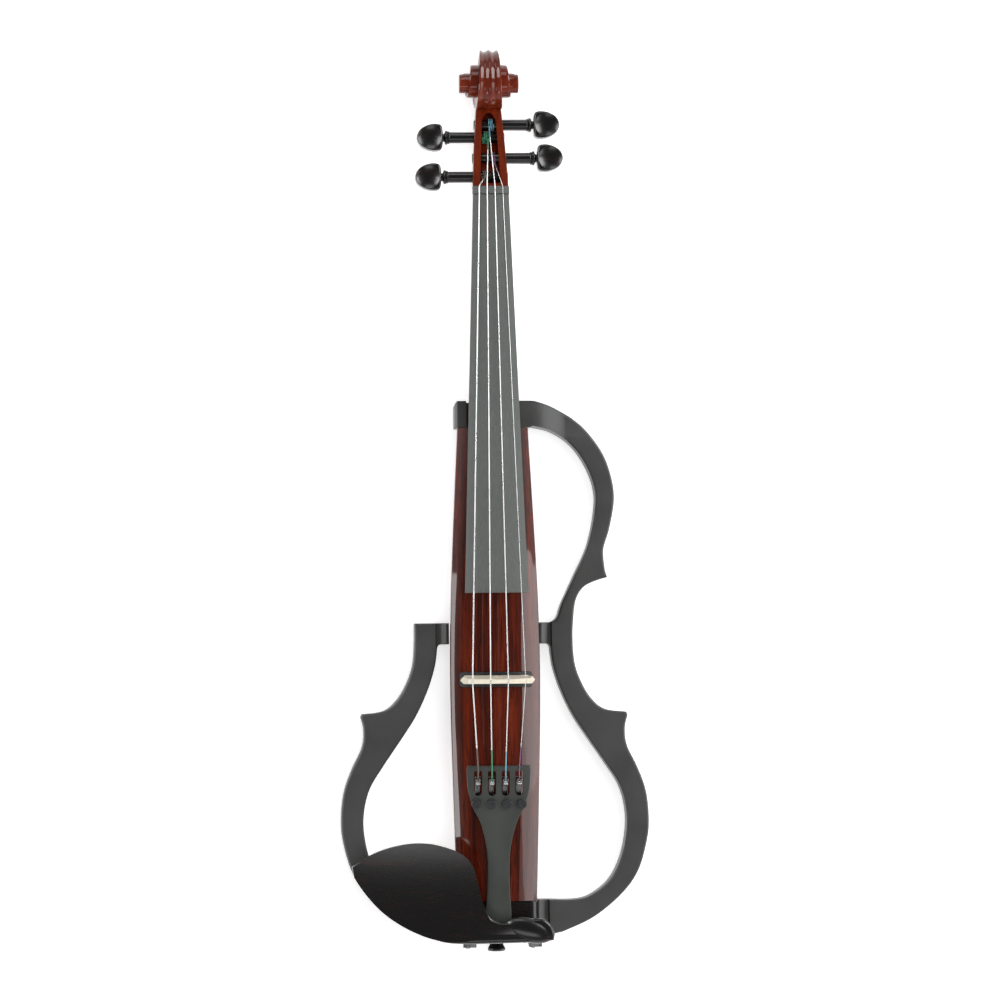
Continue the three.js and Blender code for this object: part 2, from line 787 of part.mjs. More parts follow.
const switchY = controlBayY - switchFromBay;
const dishDepth = 7;
const dishWall = 1.4;
const dishFromMiddle = 1.6;
const dishRadius = controlBayWidth / 4 - dishFromMiddle;
const knobInDish = 1.4;
const knobRadius = dishRadius - knobInDish;
const jackHeight = 17;
const jackRadius = 5;
const jackBore = 3.25;
const phonesRadius = 3.6;
const phonesBore = 1.85;
const socketDepth = 14;

// Pickup slot under the bridge
const seatWidth = 48.8;
const seatLength = 10;
const seatCorner = 2.2;
const seatProud = 0.7;
const seatDepth = 8;
const seatWall = 1.9;

function makeBodyCore() {
  const mortise = block(
    -tenonHalfWidth - seatGap, tenonHalfWidth + seatGap, bodyUpper - tenonLength, bodyUpper + overrun,
    heelBottom, bodyCrown + overrun,
  );
  const bay = block(
    -batteryWidth / 2 - bayClear, batteryWidth / 2 + bayClear,
    batteryBayY - batteryLength / 2 - bayClear, batteryBayY + batteryLength / 2 + bayClear,
    -overrun, bayTop,
  );
  const doorBed = block(
    -batteryWidth / 2 - doorLip - bayClear, batteryWidth / 2 + doorLip + bayClear,
    doorY0 - doorTravel - seatGap, doorY1 + seatGap, -overrun, doorThickness + coverRecess + seatGap,
  );
  const controls = block(
    -controlBayWidth / 2, controlBayWidth / 2,
    controlBayY - controlBayLength / 2, controlBayY + controlBayLength / 2,
    -overrun, controlBayTop,
  );
  const coverBed = slab(
    roundedPlan(0, controlBayY, coverWidth + 2 * seatGap, coverLength + 2 * seatGap, coverLip),
    -overrun, coverThickness + coverRecess + seatGap,
  );
  const slot = slab(
    roundedPlan(0, 0, seatWidth + 2 * seatGap, seatLength + 2 * seatGap, seatCorner + seatGap),
    seatFloor - seatGap, bodyCrown + overrun,
  );
  const sockets = [
    { y: jackY, radius: jackRadius },
    { y: phonesY, radius: phonesRadius },
  ].map(({ y, radius }) => {
    const start = bodyHalfAt(y) - socketDepth - seatGap;
    const clear = radius + seatGap;
    return rod(point(start, y, jackHeight), point(bodyHalfWidth + overrun, y, jackHeight), clear, clear, 20);
  });
  return cut(makeCore(0, 13), mortise, bay, doorBed, controls, coverBed, slot, ...sockets);
}
const doorY0 = batteryBayY - batteryLength / 2 - bayClear - doorLip;
const doorY1 = batteryBayY + batteryLength / 2 + bayClear + doorLip;
const coverWidth = controlBayWidth + 2 * coverLip;
const coverLength = controlBayLength + 2 * coverLip;
const seatFloor = bodyCrown - seatDepth - seatProud;
addPiece("body_core", makeBodyCore(), redWood);

// Pickup seat: a lined slot that follows the arched front and stands a little proud of it
function makePickupSeat() {
  const plan = slab(roundedPlan(0, 0, seatWidth, seatLength, seatCorner), seatFloor, bodyCrown + overrun);
  const inner = slab(
    roundedPlan(0, 0, seatWidth - 2 * seatWall, seatLength - 2 * seatWall, seatCorner / 2),
    seatFloor + seatWall, bodyCrown + 2 * overrun,
  );
  const crowned = makeCore(seatProud, 13);
  return plan.intersect(crowned).subtract(inner);
}
addPiece("pickup_seat", makePickupSeat(), blackPlastic);

// Bridge: feet in the slot, arch between them, pointed wings, heart-shaped window and notched top
const bridgeTopHalf = 21;
const bridgeFootHalf = 21.4;
const bridgeWingHalf = 24.9;
const bridgeWaistHalf = 15.5;
const bridgeThickness = 5.6;
const bridgeTopThickness = 2.4;
const bridgeShoulder = 1;
const bridgeTopInset = 0.4;
const bridgeArchShares = [0.42, 0.36];
const heartShares = [0.152, 0.219, 0.114, 0.057, 0.019];

function bridgeTopAt(x) {
  return bodyCrown + bridgeHeight - crownFall(x);
}

function makeBridge() {
  const foot = seatFloor + seatWall + seatGap;
  const face = new THREE.Shape();
  const rise = bodyCrown + bridgeHeight - foot;
  const at = (share) => foot + share * rise;
  const shoulderHeight = bridgeTopAt(bridgeTopHalf) - bridgeShoulder;
  const [archFoot, archTop] = bridgeArchShares;
  face.moveTo(bridgeFootHalf, foot);
  face.lineTo(bridgeFootHalf, at(0.24));
  face.quadraticCurveTo(bridgeWaistHalf, at(0.3), bridgeWaistHalf * 1.03, at(0.4));
  face.quadraticCurveTo(bridgeWaistHalf * 1.1, at(0.47), bridgeWingHalf, at(0.5));
  face.quadraticCurveTo(bridgeTopHalf * 1.04, at(0.62), bridgeTopHalf, shoulderHeight);
  for (let i = 0; i <= 12; i++) {
    const x = mix(bridgeTopHalf - bridgeTopInset, -bridgeTopHalf + bridgeTopInset, i / 12);
    face.lineTo(x, bridgeTopAt(x));
  }
  face.lineTo(-bridgeTopHalf, shoulderHeight);
  face.quadraticCurveTo(-bridgeTopHalf * 1.04, at(0.62), -bridgeWingHalf, at(0.5));
  face.quadraticCurveTo(-bridgeWaistHalf * 1.1, at(0.47), -bridgeWaistHalf * 1.03, at(0.4));
  face.quadraticCurveTo(-bridgeWaistHalf, at(0.3), -bridgeFootHalf, at(0.24));
  face.lineTo(-bridgeFootHalf, foot);
  face.lineTo(-bridgeFootHalf * archFoot, foot);
  face.quadraticCurveTo(-bridgeFootHalf * archTop, at(0.26), 0, at(0.27));
  face.quadraticCurveTo(bridgeFootHalf * archTop, at(0.26), bridgeFootHalf * archFoot, foot);
  face.closePath();
  const [low, wide, lobe, top, middle] = heartShares.map((share) => share * bridgeTopHalf);
  const heart = new THREE.Path();
  heart.moveTo(0, at(0.5));
  heart.bezierCurveTo(low, at(0.56), wide, at(0.7), lobe, at(0.71));
  heart.bezierCurveTo(top, at(0.715), middle, at(0.69), 0, at(0.66));
  heart.bezierCurveTo(-middle, at(0.69), -top, at(0.715), -lobe, at(0.71));
  heart.bezierCurveTo(-wide, at(0.7), -low, at(0.56), 0, at(0.5));
  face.holes.push(heart);
  const blade = new THREE.ExtrudeGeometry(
    face, { depth: bridgeThickness, bevelEnabled: false, curveSegments: 5 },
  );
  blade.rotateX(Math.PI / 2);
  blade.translate(0, bridgeThickness / 2, 0);
  const taper = new THREE.Shape();
  taper.moveTo(-bridgeThickness, 0);
  taper.lineTo(bridgeThickness / 2 + seatGap, 0);
  taper.lineTo(bridgeThickness / 2 + seatGap, at(0.3));
  taper.lineTo(bridgeTopThickness - bridgeThickness / 2, at(1.1));
  taper.lineTo(-bridgeThickness, at(1.1));
  taper.closePath();
  const side = new THREE.ExtrudeGeometry(taper, { depth: 2 * boutHalfWidth, bevelEnabled: false });
  side.rotateX(Math.PI / 2);
  side.rotateZ(Math.PI / 2);
  side.translate(-boutHalfWidth, 0, 0);
  const bridge = solid(blade).intersect(solid(side));
  return cut(bridge, ...stringNames.map((name, i) => makeNotch(i)));
}

// Centre of a string where it bends over the bridge
function stringAtBridge(i) {
  const x = stringShares[i] * bridgeSpacing;
  const y = (bridgeTopThickness - bridgeThickness) / 2;
  return point(x, y, bridgeTopAt(x) + stringRadius(i) - notchDepth);
}


// Right frame in plan: across, shares of the way from the core's side to the bout's; along, shares of the
// string length.
// Outside: from the yoke over the arch to its lower corner, the waist, the lower bout's corner, and round
// to the tail.
const archOutsideShares = [
  [-0.002, 0.572], [0.153, 0.56], [0.343, 0.536], [0.485, 0.506], [0.619, 0.461],
  [0.692, 0.411], [0.709, 0.366], [0.664, 0.31], [0.607, 0.266], [0.619, 0.224],
];
const archCornerShare = [0.64, 0.209];
const waistOutsideShares = [
  [0.509, 0.2], [0.41, 0.187], [0.345, 0.161], [0.321, 0.119], [0.315, 0.08],
  [0.332, 0.032], [0.393, -0.008], [0.486, -0.042], [0.607, -0.063], [0.802, -0.069],
];
const boutCornerShare = [0.815, -0.075];
const boutOutsideShares = [
  [0.788, -0.102], [0.805, -0.138], [0.901, -0.184], [0.975, -0.232], [1, -0.288],
  [0.98, -0.335], [0.894, -0.398], [0.735, -0.446], [0.478, -0.492], [0.195, -0.521],
];
const archInsideShares = [
  [-0.042, 0.522], [0.132, 0.512], [0.308, 0.486], [0.441, 0.446], [0.527, 0.396],
  [0.531, 0.349], [0.463, 0.276], [0.325, 0.208], [0.218, 0.157], [0.17, 0.127],
];
const boutInsideShares = [
  [0.11, 0.06], [0.133, 0.026], [0.197, -0.02], [0.308, -0.074], [0.452, -0.124], [0.607, -0.175],
  [0.735, -0.222], [0.791, -0.27], [0.79, -0.318], [0.735, -0.372], [0.626, -0.417], [0.452, -0.447],
  [0.294, -0.455],
];

function boutX(share) {
  return mix(bodyHalfWidth, boutHalfWidth, share);
}

function planPoint([across, along]) {
  return new THREE.Vector2(boutX(across), along * stringLength);
}

const padInsideX = bodyHalfAt(waistPadTop) + seatGap;
const padBottom = waistPadTop - waistPadWidth;
const padRootX = boutX(0.11);
const linkInsideX = tailBlockHalfWidth + seatGap;
const linkTopY = bodyEnd;
const pieceSteps = 3;

// Lower bout from the pad round to the tail, shared by both frames; startX is where the outside edge begins
function drawBout(shape) {
  shape.lineTo(planPoint(boutCornerShare).x, planPoint(boutCornerShare).y);
  shape.splineThru(boutOutsideShares.map(planPoint));
  shape.lineTo(boutX(0.04), tailFace);
  shape.lineTo(linkInsideX, tailFace);
  shape.lineTo(linkInsideX, linkTopY);
  shape.lineTo(boutX(0.068), linkTopY);
  shape.splineThru([...boutInsideShares].reverse().map(planPoint));
  shape.quadraticCurveTo(padRootX, padBottom, padRootX - waistPadCove / 3, padBottom);
  shape.lineTo(padInsideX, padBottom);
  shape.lineTo(padInsideX, waistPadTop);
}

function rightPlan() {
  const shape = new THREE.Shape();
  shape.moveTo(-yokeHalfWidth, yokeFrontY);
  shape.lineTo(-yokeHalfWidth, yokeBackY - yokeFacet);
  shape.lineTo(-yokeHalfWidth + yokeFacet / 2, yokeBackY);
  shape.lineTo(yokeHalfWidth, yokeBackY);
  shape.splineThru(archOutsideShares.map(planPoint));
  const corner = planPoint(archCornerShare);
  shape.lineTo(corner.x, corner.y);
  shape.splineThru(waistOutsideShares.map(planPoint));
  drawBout(shape);
  shape.lineTo(padRootX, waistPadTop);
  shape.splineThru([...archInsideShares].reverse().map(planPoint));
  shape.lineTo(yokeHalfWidth, yokeFrontY);
  shape.closePath();
  return shape;
}

function leftPlan() {
  const shape = new THREE.Shape();
  const waist = waistOutsideShares.map(planPoint).filter((corner) => corner.y < waistPadTop);
  shape.moveTo(padInsideX, waistPadTop);
  shape.lineTo(waist[0].x, waistPadTop);
  shape.splineThru(waist);
  drawBout(shape);
  shape.closePath();
  return shape;
}

// Hollowed links: a cove across each pad and each tail link, where the frame meets the core
function makeCoves() {
  const padX = (padInsideX + padRootX) / 2 + waistPadCove * 0.12;
  const linkX = linkInsideX + waistPadCove * 0.36;
  const coveTop = frameFront + waistPadCove * 0.42;
  const pad = rod(
    point(padX, padBottom - overrun, coveTop),
    point(padX, waistPadTop + overrun, coveTop), waistPadCove,
    waistPadCove, 32,
  );
  const link = rod(
    point(linkX, tailFace - overrun, coveTop),
    point(linkX, linkTopY + overrun, coveTop), waistPadCove, waistPadCove,
    32,
  );
  return [pad, link];
}

// Right frame: yoke, arch and lower bout in one piece, thicker where the yoke takes the heel
function makeRightFrame() {
  const plate = slab(rightPlan(), frameBack, frameFront, frameEdgeRound, pieceSteps);
  const ramp = new THREE.Shape();
  ramp.moveTo(-yokeHalfWidth, frameBack + frameEdgeRound);
  ramp.lineTo(yokeHalfWidth + yokeRampLength, frameBack + frameEdgeRound);
  ramp.lineTo(yokeHalfWidth + yokeRampLength, frameFront - frameEdgeRound);
  ramp.bezierCurveTo(
    yokeHalfWidth + yokeRampLength / 2, frameFront, yokeHalfWidth + yokeRampLength / 2, yokeHeight,
    yokeHalfWidth, yokeHeight,
  );
  ramp.lineTo(-yokeHalfWidth + yokeFacet / 2, yokeHeight);
  ramp.lineTo(-yokeHalfWidth, yokeHeight - yokeFacet);
  ramp.closePath();
  const raised = new THREE.ExtrudeGeometry(
    ramp, { depth: 2 * yokeLength, bevelEnabled: false, curveSegments: 6 },
  );
  raised.rotateX(Math.PI / 2);
  raised.translate(0, yokeBackY + overrun, 0);
  const tall = slab(rightPlan(), frameBack, yokeHeight + overrun, 0, pieceSteps);
  const yoke = solid(raised).intersect(tall);
  const channelHalf = boardHalfAt(yokeFrontY) + seatGap;
  const channel = block(
    -channelHalf, channelHalf, yokeFrontY - overrun, yokeBackY + overrun,
    heelBottom - seatGap, yokeHeight + overrun,
  );
  return cut(plate.add(yoke), channel, ...makeCoves());
}
addPiece("frame_right", makeRightFrame(), satinBlack);

function makeLeftFrame() {
  const plate = slab(leftPlan(), frameBack, frameFront, frameEdgeRound, pieceSteps);
  return cut(plate, ...makeCoves()).mirror([1, 0, 0]);
}
addPiece("frame_left", makeLeftFrame(), satinBlack);

// Tail block closes the core and carries the saddle and the end button
function makeTailBlock() {
  const h = tailBlockHalfWidth;
  const profile = new THREE.Shape();
  profile.moveTo(-h, frameBack);
  profile.lineTo(h, frameBack);
  profile.lineTo(h, tailBlockTop - tailShoulderFall);
  profile.quadraticCurveTo(h, tailBlockTop, h - tailShoulderWidth, tailBlockTop);
  profile.lineTo(-h + tailShoulderWidth, tailBlockTop);
  profile.quadraticCurveTo(-h, tailBlockTop, -h, tailBlockTop - tailShoulderFall);
  profile.closePath();
  const bar = new THREE.ExtrudeGeometry(
    profile, { depth: tailBlockLength, bevelEnabled: false, curveSegments: 5 },
  );
  bar.rotateX(Math.PI / 2);
  bar.translate(0, bodyEnd - seatGap, 0);
  const saddleBed = block(
    -saddleHalfWidth - seatGap, saddleHalfWidth + seatGap,
    tailFace - overrun, tailFace + saddleDepth + seatGap,
    tailBlockTop - saddleDepth - seatGap, tailBlockTop + overrun,
  );
  const bore = rod(
    point(0, tailFace - overrun, buttonHeight), point(0, tailFace + buttonPinLength + seatGap, buttonHeight),
    buttonNeckRadius + seatGap, buttonNeckRadius + seatGap, 20,
  );
  return cut(solid(bar), saddleBed, bore);
}
addPiece("tail_block", makeTailBlock(), ebony);

// Saddle: a small bar with a rounded back edge that the tailgut bends over
function makeSaddle() {
  const top = tailBlockTop + saddleRise;
  const inner = tailFace + saddleDepth;
  const section = new THREE.Shape();
  section.moveTo(tailFace, tailBlockTop - saddleDepth);
  section.lineTo(inner, tailBlockTop - saddleDepth);
  section.lineTo(inner, tailBlockTop);
  section.quadraticCurveTo(inner - saddleRound, top, inner - saddleDepth / 2, top);
  section.quadraticCurveTo(tailFace, top, tailFace, tailBlockTop - saddleRise / 2);
  section.closePath();
  const bar = new THREE.ExtrudeGeometry(
    section, { depth: 2 * saddleHalfWidth, bevelEnabled: false, curveSegments: 6 },
  );
  bar.rotateX(Math.PI / 2);
  bar.rotateZ(Math.PI / 2);
  bar.translate(-saddleHalfWidth, 0, 0);
  return solid(bar);
}
addPiece("saddle", makeSaddle(), ebony);

// End button: pin in the block, slim neck for the tailgut, flared head
function makeEndButton() {
  const profile = [
    new THREE.Vector2(0, -buttonPinLength),
    new THREE.Vector2(buttonNeckRadius - buttonPinRound, -buttonPinLength),
    new THREE.Vector2(buttonNeckRadius, 0),
    new THREE.Vector2(buttonNeckRadius, buttonNeckLength),
    new THREE.Vector2(buttonNeckRadius + buttonNeckRise, buttonNeckLength + buttonNeckRise),
    new THREE.Vector2(buttonHeadRadius - buttonNeckRise, buttonFlareStart),
    new THREE.Vector2(buttonHeadRadius, buttonRimLow),
    new THREE.Vector2(buttonHeadRadius, buttonRimHigh),
    new THREE.Vector2(buttonHeadRadius - buttonRimRound, mix(buttonRimHigh, buttonReach, 0.75)),
    new THREE.Vector2(0, buttonReach),
  ];
  const turned = new THREE.LatheGeometry(profile, 20);
  turned.rotateX(Math.PI);
  turned.translate(0, tailFace, buttonHeight);
  return solid(turned);
}
addPiece("end_button", makeEndButton(), ebony);

// Tailpiece in a frame of its own: origin on its crown at the string end, +Y to the bridge, tilted down
// to the saddle
const tailpieceBelowBridge = 15;
const tailpieceTop = bodyCrown + bridgeHeight - tailpieceBelowBridge;
const tailpieceToSaddle = 3.1;
const tailpieceAboveCrown = 3.84;
const tailpieceReach = -tailFace - saddleDepth - tailpieceToSaddle - afterLength;
const tailpieceFall = tailpieceTop - bodyCrown - tailpieceAboveCrown;
const tailpieceTilt = Math.atan(tailpieceFall / tailpieceReach);
const tailpieceLength = tailpieceReach / Math.cos(tailpieceTilt);
const tailpieceHalf = 21.4;
const tailpieceEdge = 4.5;
const tailpieceArch = 2.6;
const tailpieceWall = 2.2;
const slotWidth = 5.4;
const slotStart = 3;
const slotLength = 17;
const tunerSpacing = 9.2;
const screwSpacing = 10.3;
const screwBack = 25.2;
const screwHeadRadius = 3.1;
const screwHeadHeight = 3;
const screwHeadRise = 1.7;
const screwRadius = 1.1;
const leverPivotBack = 9;
const leverPivotDown = 4.6;
const leverWidth = 3.4;
const leverThickness = 1.4;
const leverForkRise = 4.2;
const leverBarrelRadius = 1.5;
const forkSlotDepth = 2.6;
const slotRound = 2.5;
const pocketOverlap = 0.1;
const gutRadius = 1.1;
const gutSpacing = 7;

const tailpieceGroup = new THREE.Group();
tailpieceGroup.position.set(0, -afterLength, tailpieceTop);
tailpieceGroup.rotation.x = tailpieceTilt;
violin.add(tailpieceGroup);

// Half width of the tailpiece at a distance from its string end: shares of its length and of its half width
const tailpiecePlanShares = [
  [0, 0.99], [0.04, 1], [0.14, 0.97], [0.22, 0.87], [0.28, 0.76], [0.335, 0.61],
  [0.4, 0.5], [0.5, 0.39], [0.62, 0.34], [0.8, 0.36], [0.93, 0.4], [1, 0.37],
];

function tailpieceHalfAt(share) {
  const next = tailpiecePlanShares.findIndex(([along]) => along >= share);
  if (next <= 0) {
    return tailpiecePlanShares[0][1] * tailpieceHalf;
  }
  const [fromAlong, fromWide] = tailpiecePlanShares[next - 1];
  const [toAlong, toWide] = tailpiecePlanShares[next];
  return mix(fromWide, toWide, (share - fromAlong) / (toAlong - fromAlong)) * tailpieceHalf;
}

function tailpieceArchAt(half, x) {
  return tailpieceArch * (half / tailpieceHalf) * (1 - Math.pow(x / half, 2));
}

// An arched wedge, hollow below its wide end, with a slot for each tuner and a bore for each screw
function makeTailpiece() {
  const stations = tailpiecePlanShares.map(([along]) => along);
  const steps = 6;
  const sections = stations.map((share) => {
    const half = tailpieceHalfAt(share);
    const round = tailpieceArch * 0.4;
    const depth = mix(tailpieceEdge, tailpieceEdge * 4 / 3, share);
    const section = [];
    for (let i = 0; i <= steps; i++) {
      const x = mix(half, -half, i / steps);
      section.push(new THREE.Vector2(x, tailpieceArchAt(half, x) - tailpieceArch));
    }
    section.push(new THREE.Vector2(-half + round, -depth - tailpieceArch / 2));
    section.push(new THREE.Vector2(half - round, -depth - tailpieceArch / 2));
    return section;
  });
  let body = loft(
    sections, (corner, station) => point(corner.x, -stations[station] * tailpieceLength, corner.y),
  );
  const pocketDepth = tailpieceEdge + tailpieceArch;
  body = body.subtract(block(
    -tailpieceHalf + 2 * tailpieceWall, tailpieceHalf - 2 * tailpieceWall,
    -slotStart - slotLength, -slotStart,
    -pocketDepth - overrun, -tailpieceArch - tailpieceWall,
  ));
  body = body.subtract(block(
    -screwSpacing * 1.5 - leverWidth, screwSpacing * 1.5 + leverWidth,
    -screwBack - leverWidth, -slotStart - slotLength + pocketOverlap,
    -pocketDepth - overrun, -tailpieceArch - tailpieceWall,
  ));
  stringShares.forEach((share) => {
    const x = share * 3 * tunerSpacing;
    const opening = slab(
      roundedPlan(x, -slotStart - slotLength / 2, slotWidth, slotLength, slotRound),
      -pocketDepth - overrun, overrun, 0, 4,
    );
    const screwX = share * 3 * screwSpacing;
    const boreRadius = screwRadius + runGap;
    const bore = rod(
      point(screwX, -screwBack, -pocketDepth - overrun),
      point(screwX, -screwBack, 0), boreRadius, boreRadius, 8,
    );
    body = cut(body, opening, bore);
  });
  const gutRun = tailpieceLength * 0.12;
  for (const side of [-1, 1]) {
    const x = (side * gutSpacing) / 2;
    const radius = gutRadius + seatGap;
    const z = -tailpieceArch - tailpieceEdge / 2;
    body = body.subtract(rod(
      point(x, -tailpieceLength - overrun, z), point(x, -tailpieceLength + gutRun, z), radius, radius, 8,
    ));
  }
  return body;
}
addPiece("tailpiece", makeTailpiece(), blackPlastic, tailpieceGroup);

// Tuner lever: pivot barrel, upright fork that holds the string's end, and an arm that runs back under
// the screw
function makeLever(x, screwX) {
  const pivotY = -leverPivotBack;
  const pivotZ = -tailpieceArch - leverPivotDown;
  const half = leverWidth / 2;
  const barrel = rod(
    point(x - half, pivotY, pivotZ), point(x + half, pivotY, pivotZ),
    leverBarrelRadius, leverBarrelRadius, 14,
  );
  const forkTop = -tailpieceArch + leverForkRise;
  const fork = cut(
    block(x - half, x + half, pivotY - leverThickness / 2, pivotY + leverThickness / 2, pivotZ, forkTop),
    block(
      x - half / 3, x + half / 3, pivotY - overrun, pivotY + overrun, forkTop - forkSlotDepth,
      forkTop + overrun,
    ),
  );
  const armLow = pivotZ - leverThickness / 2;
  const armEnd = -screwBack - leverWidth / 2;
  const arm = new THREE.Shape();
  arm.moveTo(x - half, pivotY);
  arm.lineTo(x + half, pivotY);
  arm.lineTo(x + half, pivotY - slotLength / 2);
  arm.lineTo(screwX + half, armEnd);
  arm.lineTo(screwX - half, armEnd);
  arm.lineTo(x - half, pivotY - slotLength / 2);
  arm.closePath();
  return union(barrel, fork, slab(arm, armLow - leverThickness, armLow));
}

function makeScrewHead(x) {
  const low = -tailpieceArch + tailpieceArchAt(tailpieceHalf, x) + screwHeadRise;
  const grips = 10;
  const outline = new THREE.Shape();
  for (let i = 0; i < grips * 2; i++) {
    const angle = (Math.PI * i) / grips;
    const radius = i % 2 ? screwHeadRadius : screwHeadRadius * 0.93;
    const corner = new THREE.Vector2(x + radius * Math.cos(angle), -screwBack + radius * Math.sin(angle));
    if (i === 0) {
      outline.moveTo(corner.x, corner.y);
    } else {
      outline.lineTo(corner.x, corner.y);
    }
  }
  outline.closePath();
  return slab(outline, low, low + screwHeadHeight);
}

function makeScrewShank(x) {
  const top = -tailpieceArch + tailpieceArchAt(tailpieceHalf, x) + screwHeadRise - seatGap;
  const tip = -tailpieceArch - leverPivotDown - leverThickness / 2 + seatGap;
  return rod(point(x, -screwBack, tip), point(x, -screwBack, top), screwRadius * 0.8, screwRadius, 12);
}

stringNames.forEach((name, i) => {
  const x = stringShares[i] * 3 * tunerSpacing;
  const screwX = stringShares[i] * 3 * screwSpacing;
  addPiece("tuner_lever_" + name, makeLever(x, screwX), steel, tailpieceGroup);
  addPiece("tuner_head_" + name, makeScrewHead(screwX), blackPlastic, tailpieceGroup);
  addPiece("tuner_shank_" + name, makeScrewShank(screwX), steel, tailpieceGroup);
});

// A place on the tailpiece as a place on the violin
tailpieceGroup.updateMatrixWorld(true);
function onTailpiece(x, y, z) {
  return point(x, y, z).applyMatrix4(tailpieceGroup.matrixWorld);
}

// Tailgut: two legs from the tailpiece over the saddle, joined in a loop round the end button's neck
function makeTailgut() {
  const x = gutSpacing / 2;
  const inTailpiece = onTailpiece(x, -tailpieceLength * 0.9, -tailpieceArch - tailpieceEdge / 2);
  const leaves = onTailpiece(x, -tailpieceLength - gutRadius / 2, -tailpieceArch - tailpieceEdge / 2);
  const away = gutRadius + seatGap;
  const saddleTop = tailBlockTop + saddleRise;
  const overSaddle = point(x, tailFace + saddleDepth / 2, saddleTop + away);
  const bendStart = point(x, tailFace - away / 2, saddleTop + away);
  const bendEnd = point(x, tailFace - away, saddleTop + away / 2);
  const loopRadius = buttonNeckRadius + away;
  const loopY = tailFace - away;
  const atButton = point(loopRadius, loopY, buttonHeight);
  const places = [inTailpiece, leaves, overSaddle, bendStart, bendEnd, atButton];
  const turns = 6;
  for (let i = 1; i <= turns; i++) {
    const angle = (Math.PI / 2) * (i / turns);
    places.push(point(loopRadius * Math.cos(angle), loopY, buttonHeight - loopRadius * Math.sin(angle)));
  }
  const route = [...places, ...places.slice(0, -1).reverse().map((place) => point(-place.x, place.y, place.z))];
  return tube(route, gutRadius, 8);
}
addPiece("tailgut", makeTailgut(), blackPlastic);

// Strings: straight between the peg, the nut, the bridge and the tailpiece
const windingTurns = 3;
const windingGap = 0.45;
const windingRise = 0.12;
const stringSeat = 0.12;
const hookGap = 0.65;

function windingRadiusAt(i, depth) {
  return pegRadiusInside(depth) + stringRadius(i) + windingRise;
}

function pegOf(i) {
  return pegs.find((peg) => peg.name === stringNames[i]);
}

function stringPlaces(i) {
  const peg = pegOf(i);
  const radius = stringRadius(i);
  const tailX = stringShares[i] * 3 * tunerSpacing;
  const tailZ = tailpieceArchAt(tailpieceHalf, tailX) - tailpieceArch + radius + stringSeat;
  const tail = onTailpiece(tailX, -slotStart / 2, tailZ);
  const hook = onTailpiece(tailX, -leverPivotBack + leverThickness / 2 + hookGap, tailZ);
  const wound = windingRadiusAt(i, pegboxHalfAt(pegY(peg)));
  const keep = wound + 2 * radius + 2 * windingRise;
  const nutPlace = stringAtNut(i).add(point(0, nutThickness, -nutFall));
  const centre = point(peg.stringX, pegY(peg), pegZ(peg));
  const run = Math.hypot(centre.y - nutPlace.y, centre.z - nutPlace.z);
  const slope = Math.atan2(nutPlace.z - centre.z, centre.y - nutPlace.y);
  const lean = Math.asin(wound / run);
  const reach = Math.sqrt(run * run - wound * wound) - Math.sqrt(keep * keep - wound * wound);
  const fall = slope - lean;
  const kept = reach / Math.sqrt(run * run - wound * wound);
  const end = point(
    mix(nutPlace.x, peg.stringX, kept),
    nutPlace.y + reach * Math.cos(fall),
    nutPlace.z - reach * Math.sin(fall),
  );
  return [hook, tail, stringAtBridge(i), stringAtNut(i), nutPlace, end];
}

function makeString(i) {
  return tube(stringPlaces(i), stringRadius(i), 8);
}

// Groove that a string runs in, a little wider than the string
function makeNotch(i) {
  return tube(stringPlaces(i), stringRadius(i) + notchClear, 8);
}
addPiece("nut", makeNut(), boardBlack);
addPiece("bridge", makeBridge(), maple);

// A string's turns round its peg: one unbroken helix
class Winding extends THREE.Curve {
  constructor(peg, radius, pitch, turns) {
    super();
    Object.assign(this, { peg, radius, pitch, turns });
  }

  getPoint(share, target = new THREE.Vector3()) {
    const angle = 2 * Math.PI * this.turns * share;
    const x = this.peg.stringX + this.peg.side * this.pitch * this.turns * share;
    return target.set(
      x, pegY(this.peg) + this.radius * Math.sin(angle), pegZ(this.peg) + this.radius * Math.cos(angle),
    );
  }
}

function makeWinding(i) {
  const peg = pegOf(i);
  const thread = stringRadius(i);
  const pitch = 2 * thread + windingGap;
  const curve = new Winding(peg, windingRadiusAt(i, pegboxHalfAt(pegY(peg))), pitch, windingTurns);
  const stepsPerTurn = 15;
  const sides = 5;
  const section = new THREE.Shape();
  for (let k = 0; k < sides; k++) {
    const angle = (2 * Math.PI * k) / sides;
    const corner = [thread * Math.cos(angle), thread * Math.sin(angle)];
    if (k === 0) {
      section.moveTo(...corner);
    } else {
      section.lineTo(...corner);
    }
  }
  section.closePath();
  const places = curve.getPoints(stepsPerTurn * windingTurns);
  let least = Infinity;
  places.forEach((a, m) => {
    for (let n = m + Math.ceil(stepsPerTurn / 2); n < places.length; n++) {
      least = Math.min(least, a.distanceTo(places[n]) - 2 * thread);
    }
  });
  console.log("least gap between turns of string_winding_" + stringNames[i] + ": " + least.toFixed(2) + " mm");
  return solid(new THREE.ExtrudeGeometry(section, {
    steps: stepsPerTurn * windingTurns, bevelEnabled: false, extrudePath: curve,
  }));
}

stringNames.forEach((name, i) => {
  addPiece("string_" + name, makeString(i), steel);
  addPiece("string_winding_" + name, makeWinding(i), silks[i]);
});

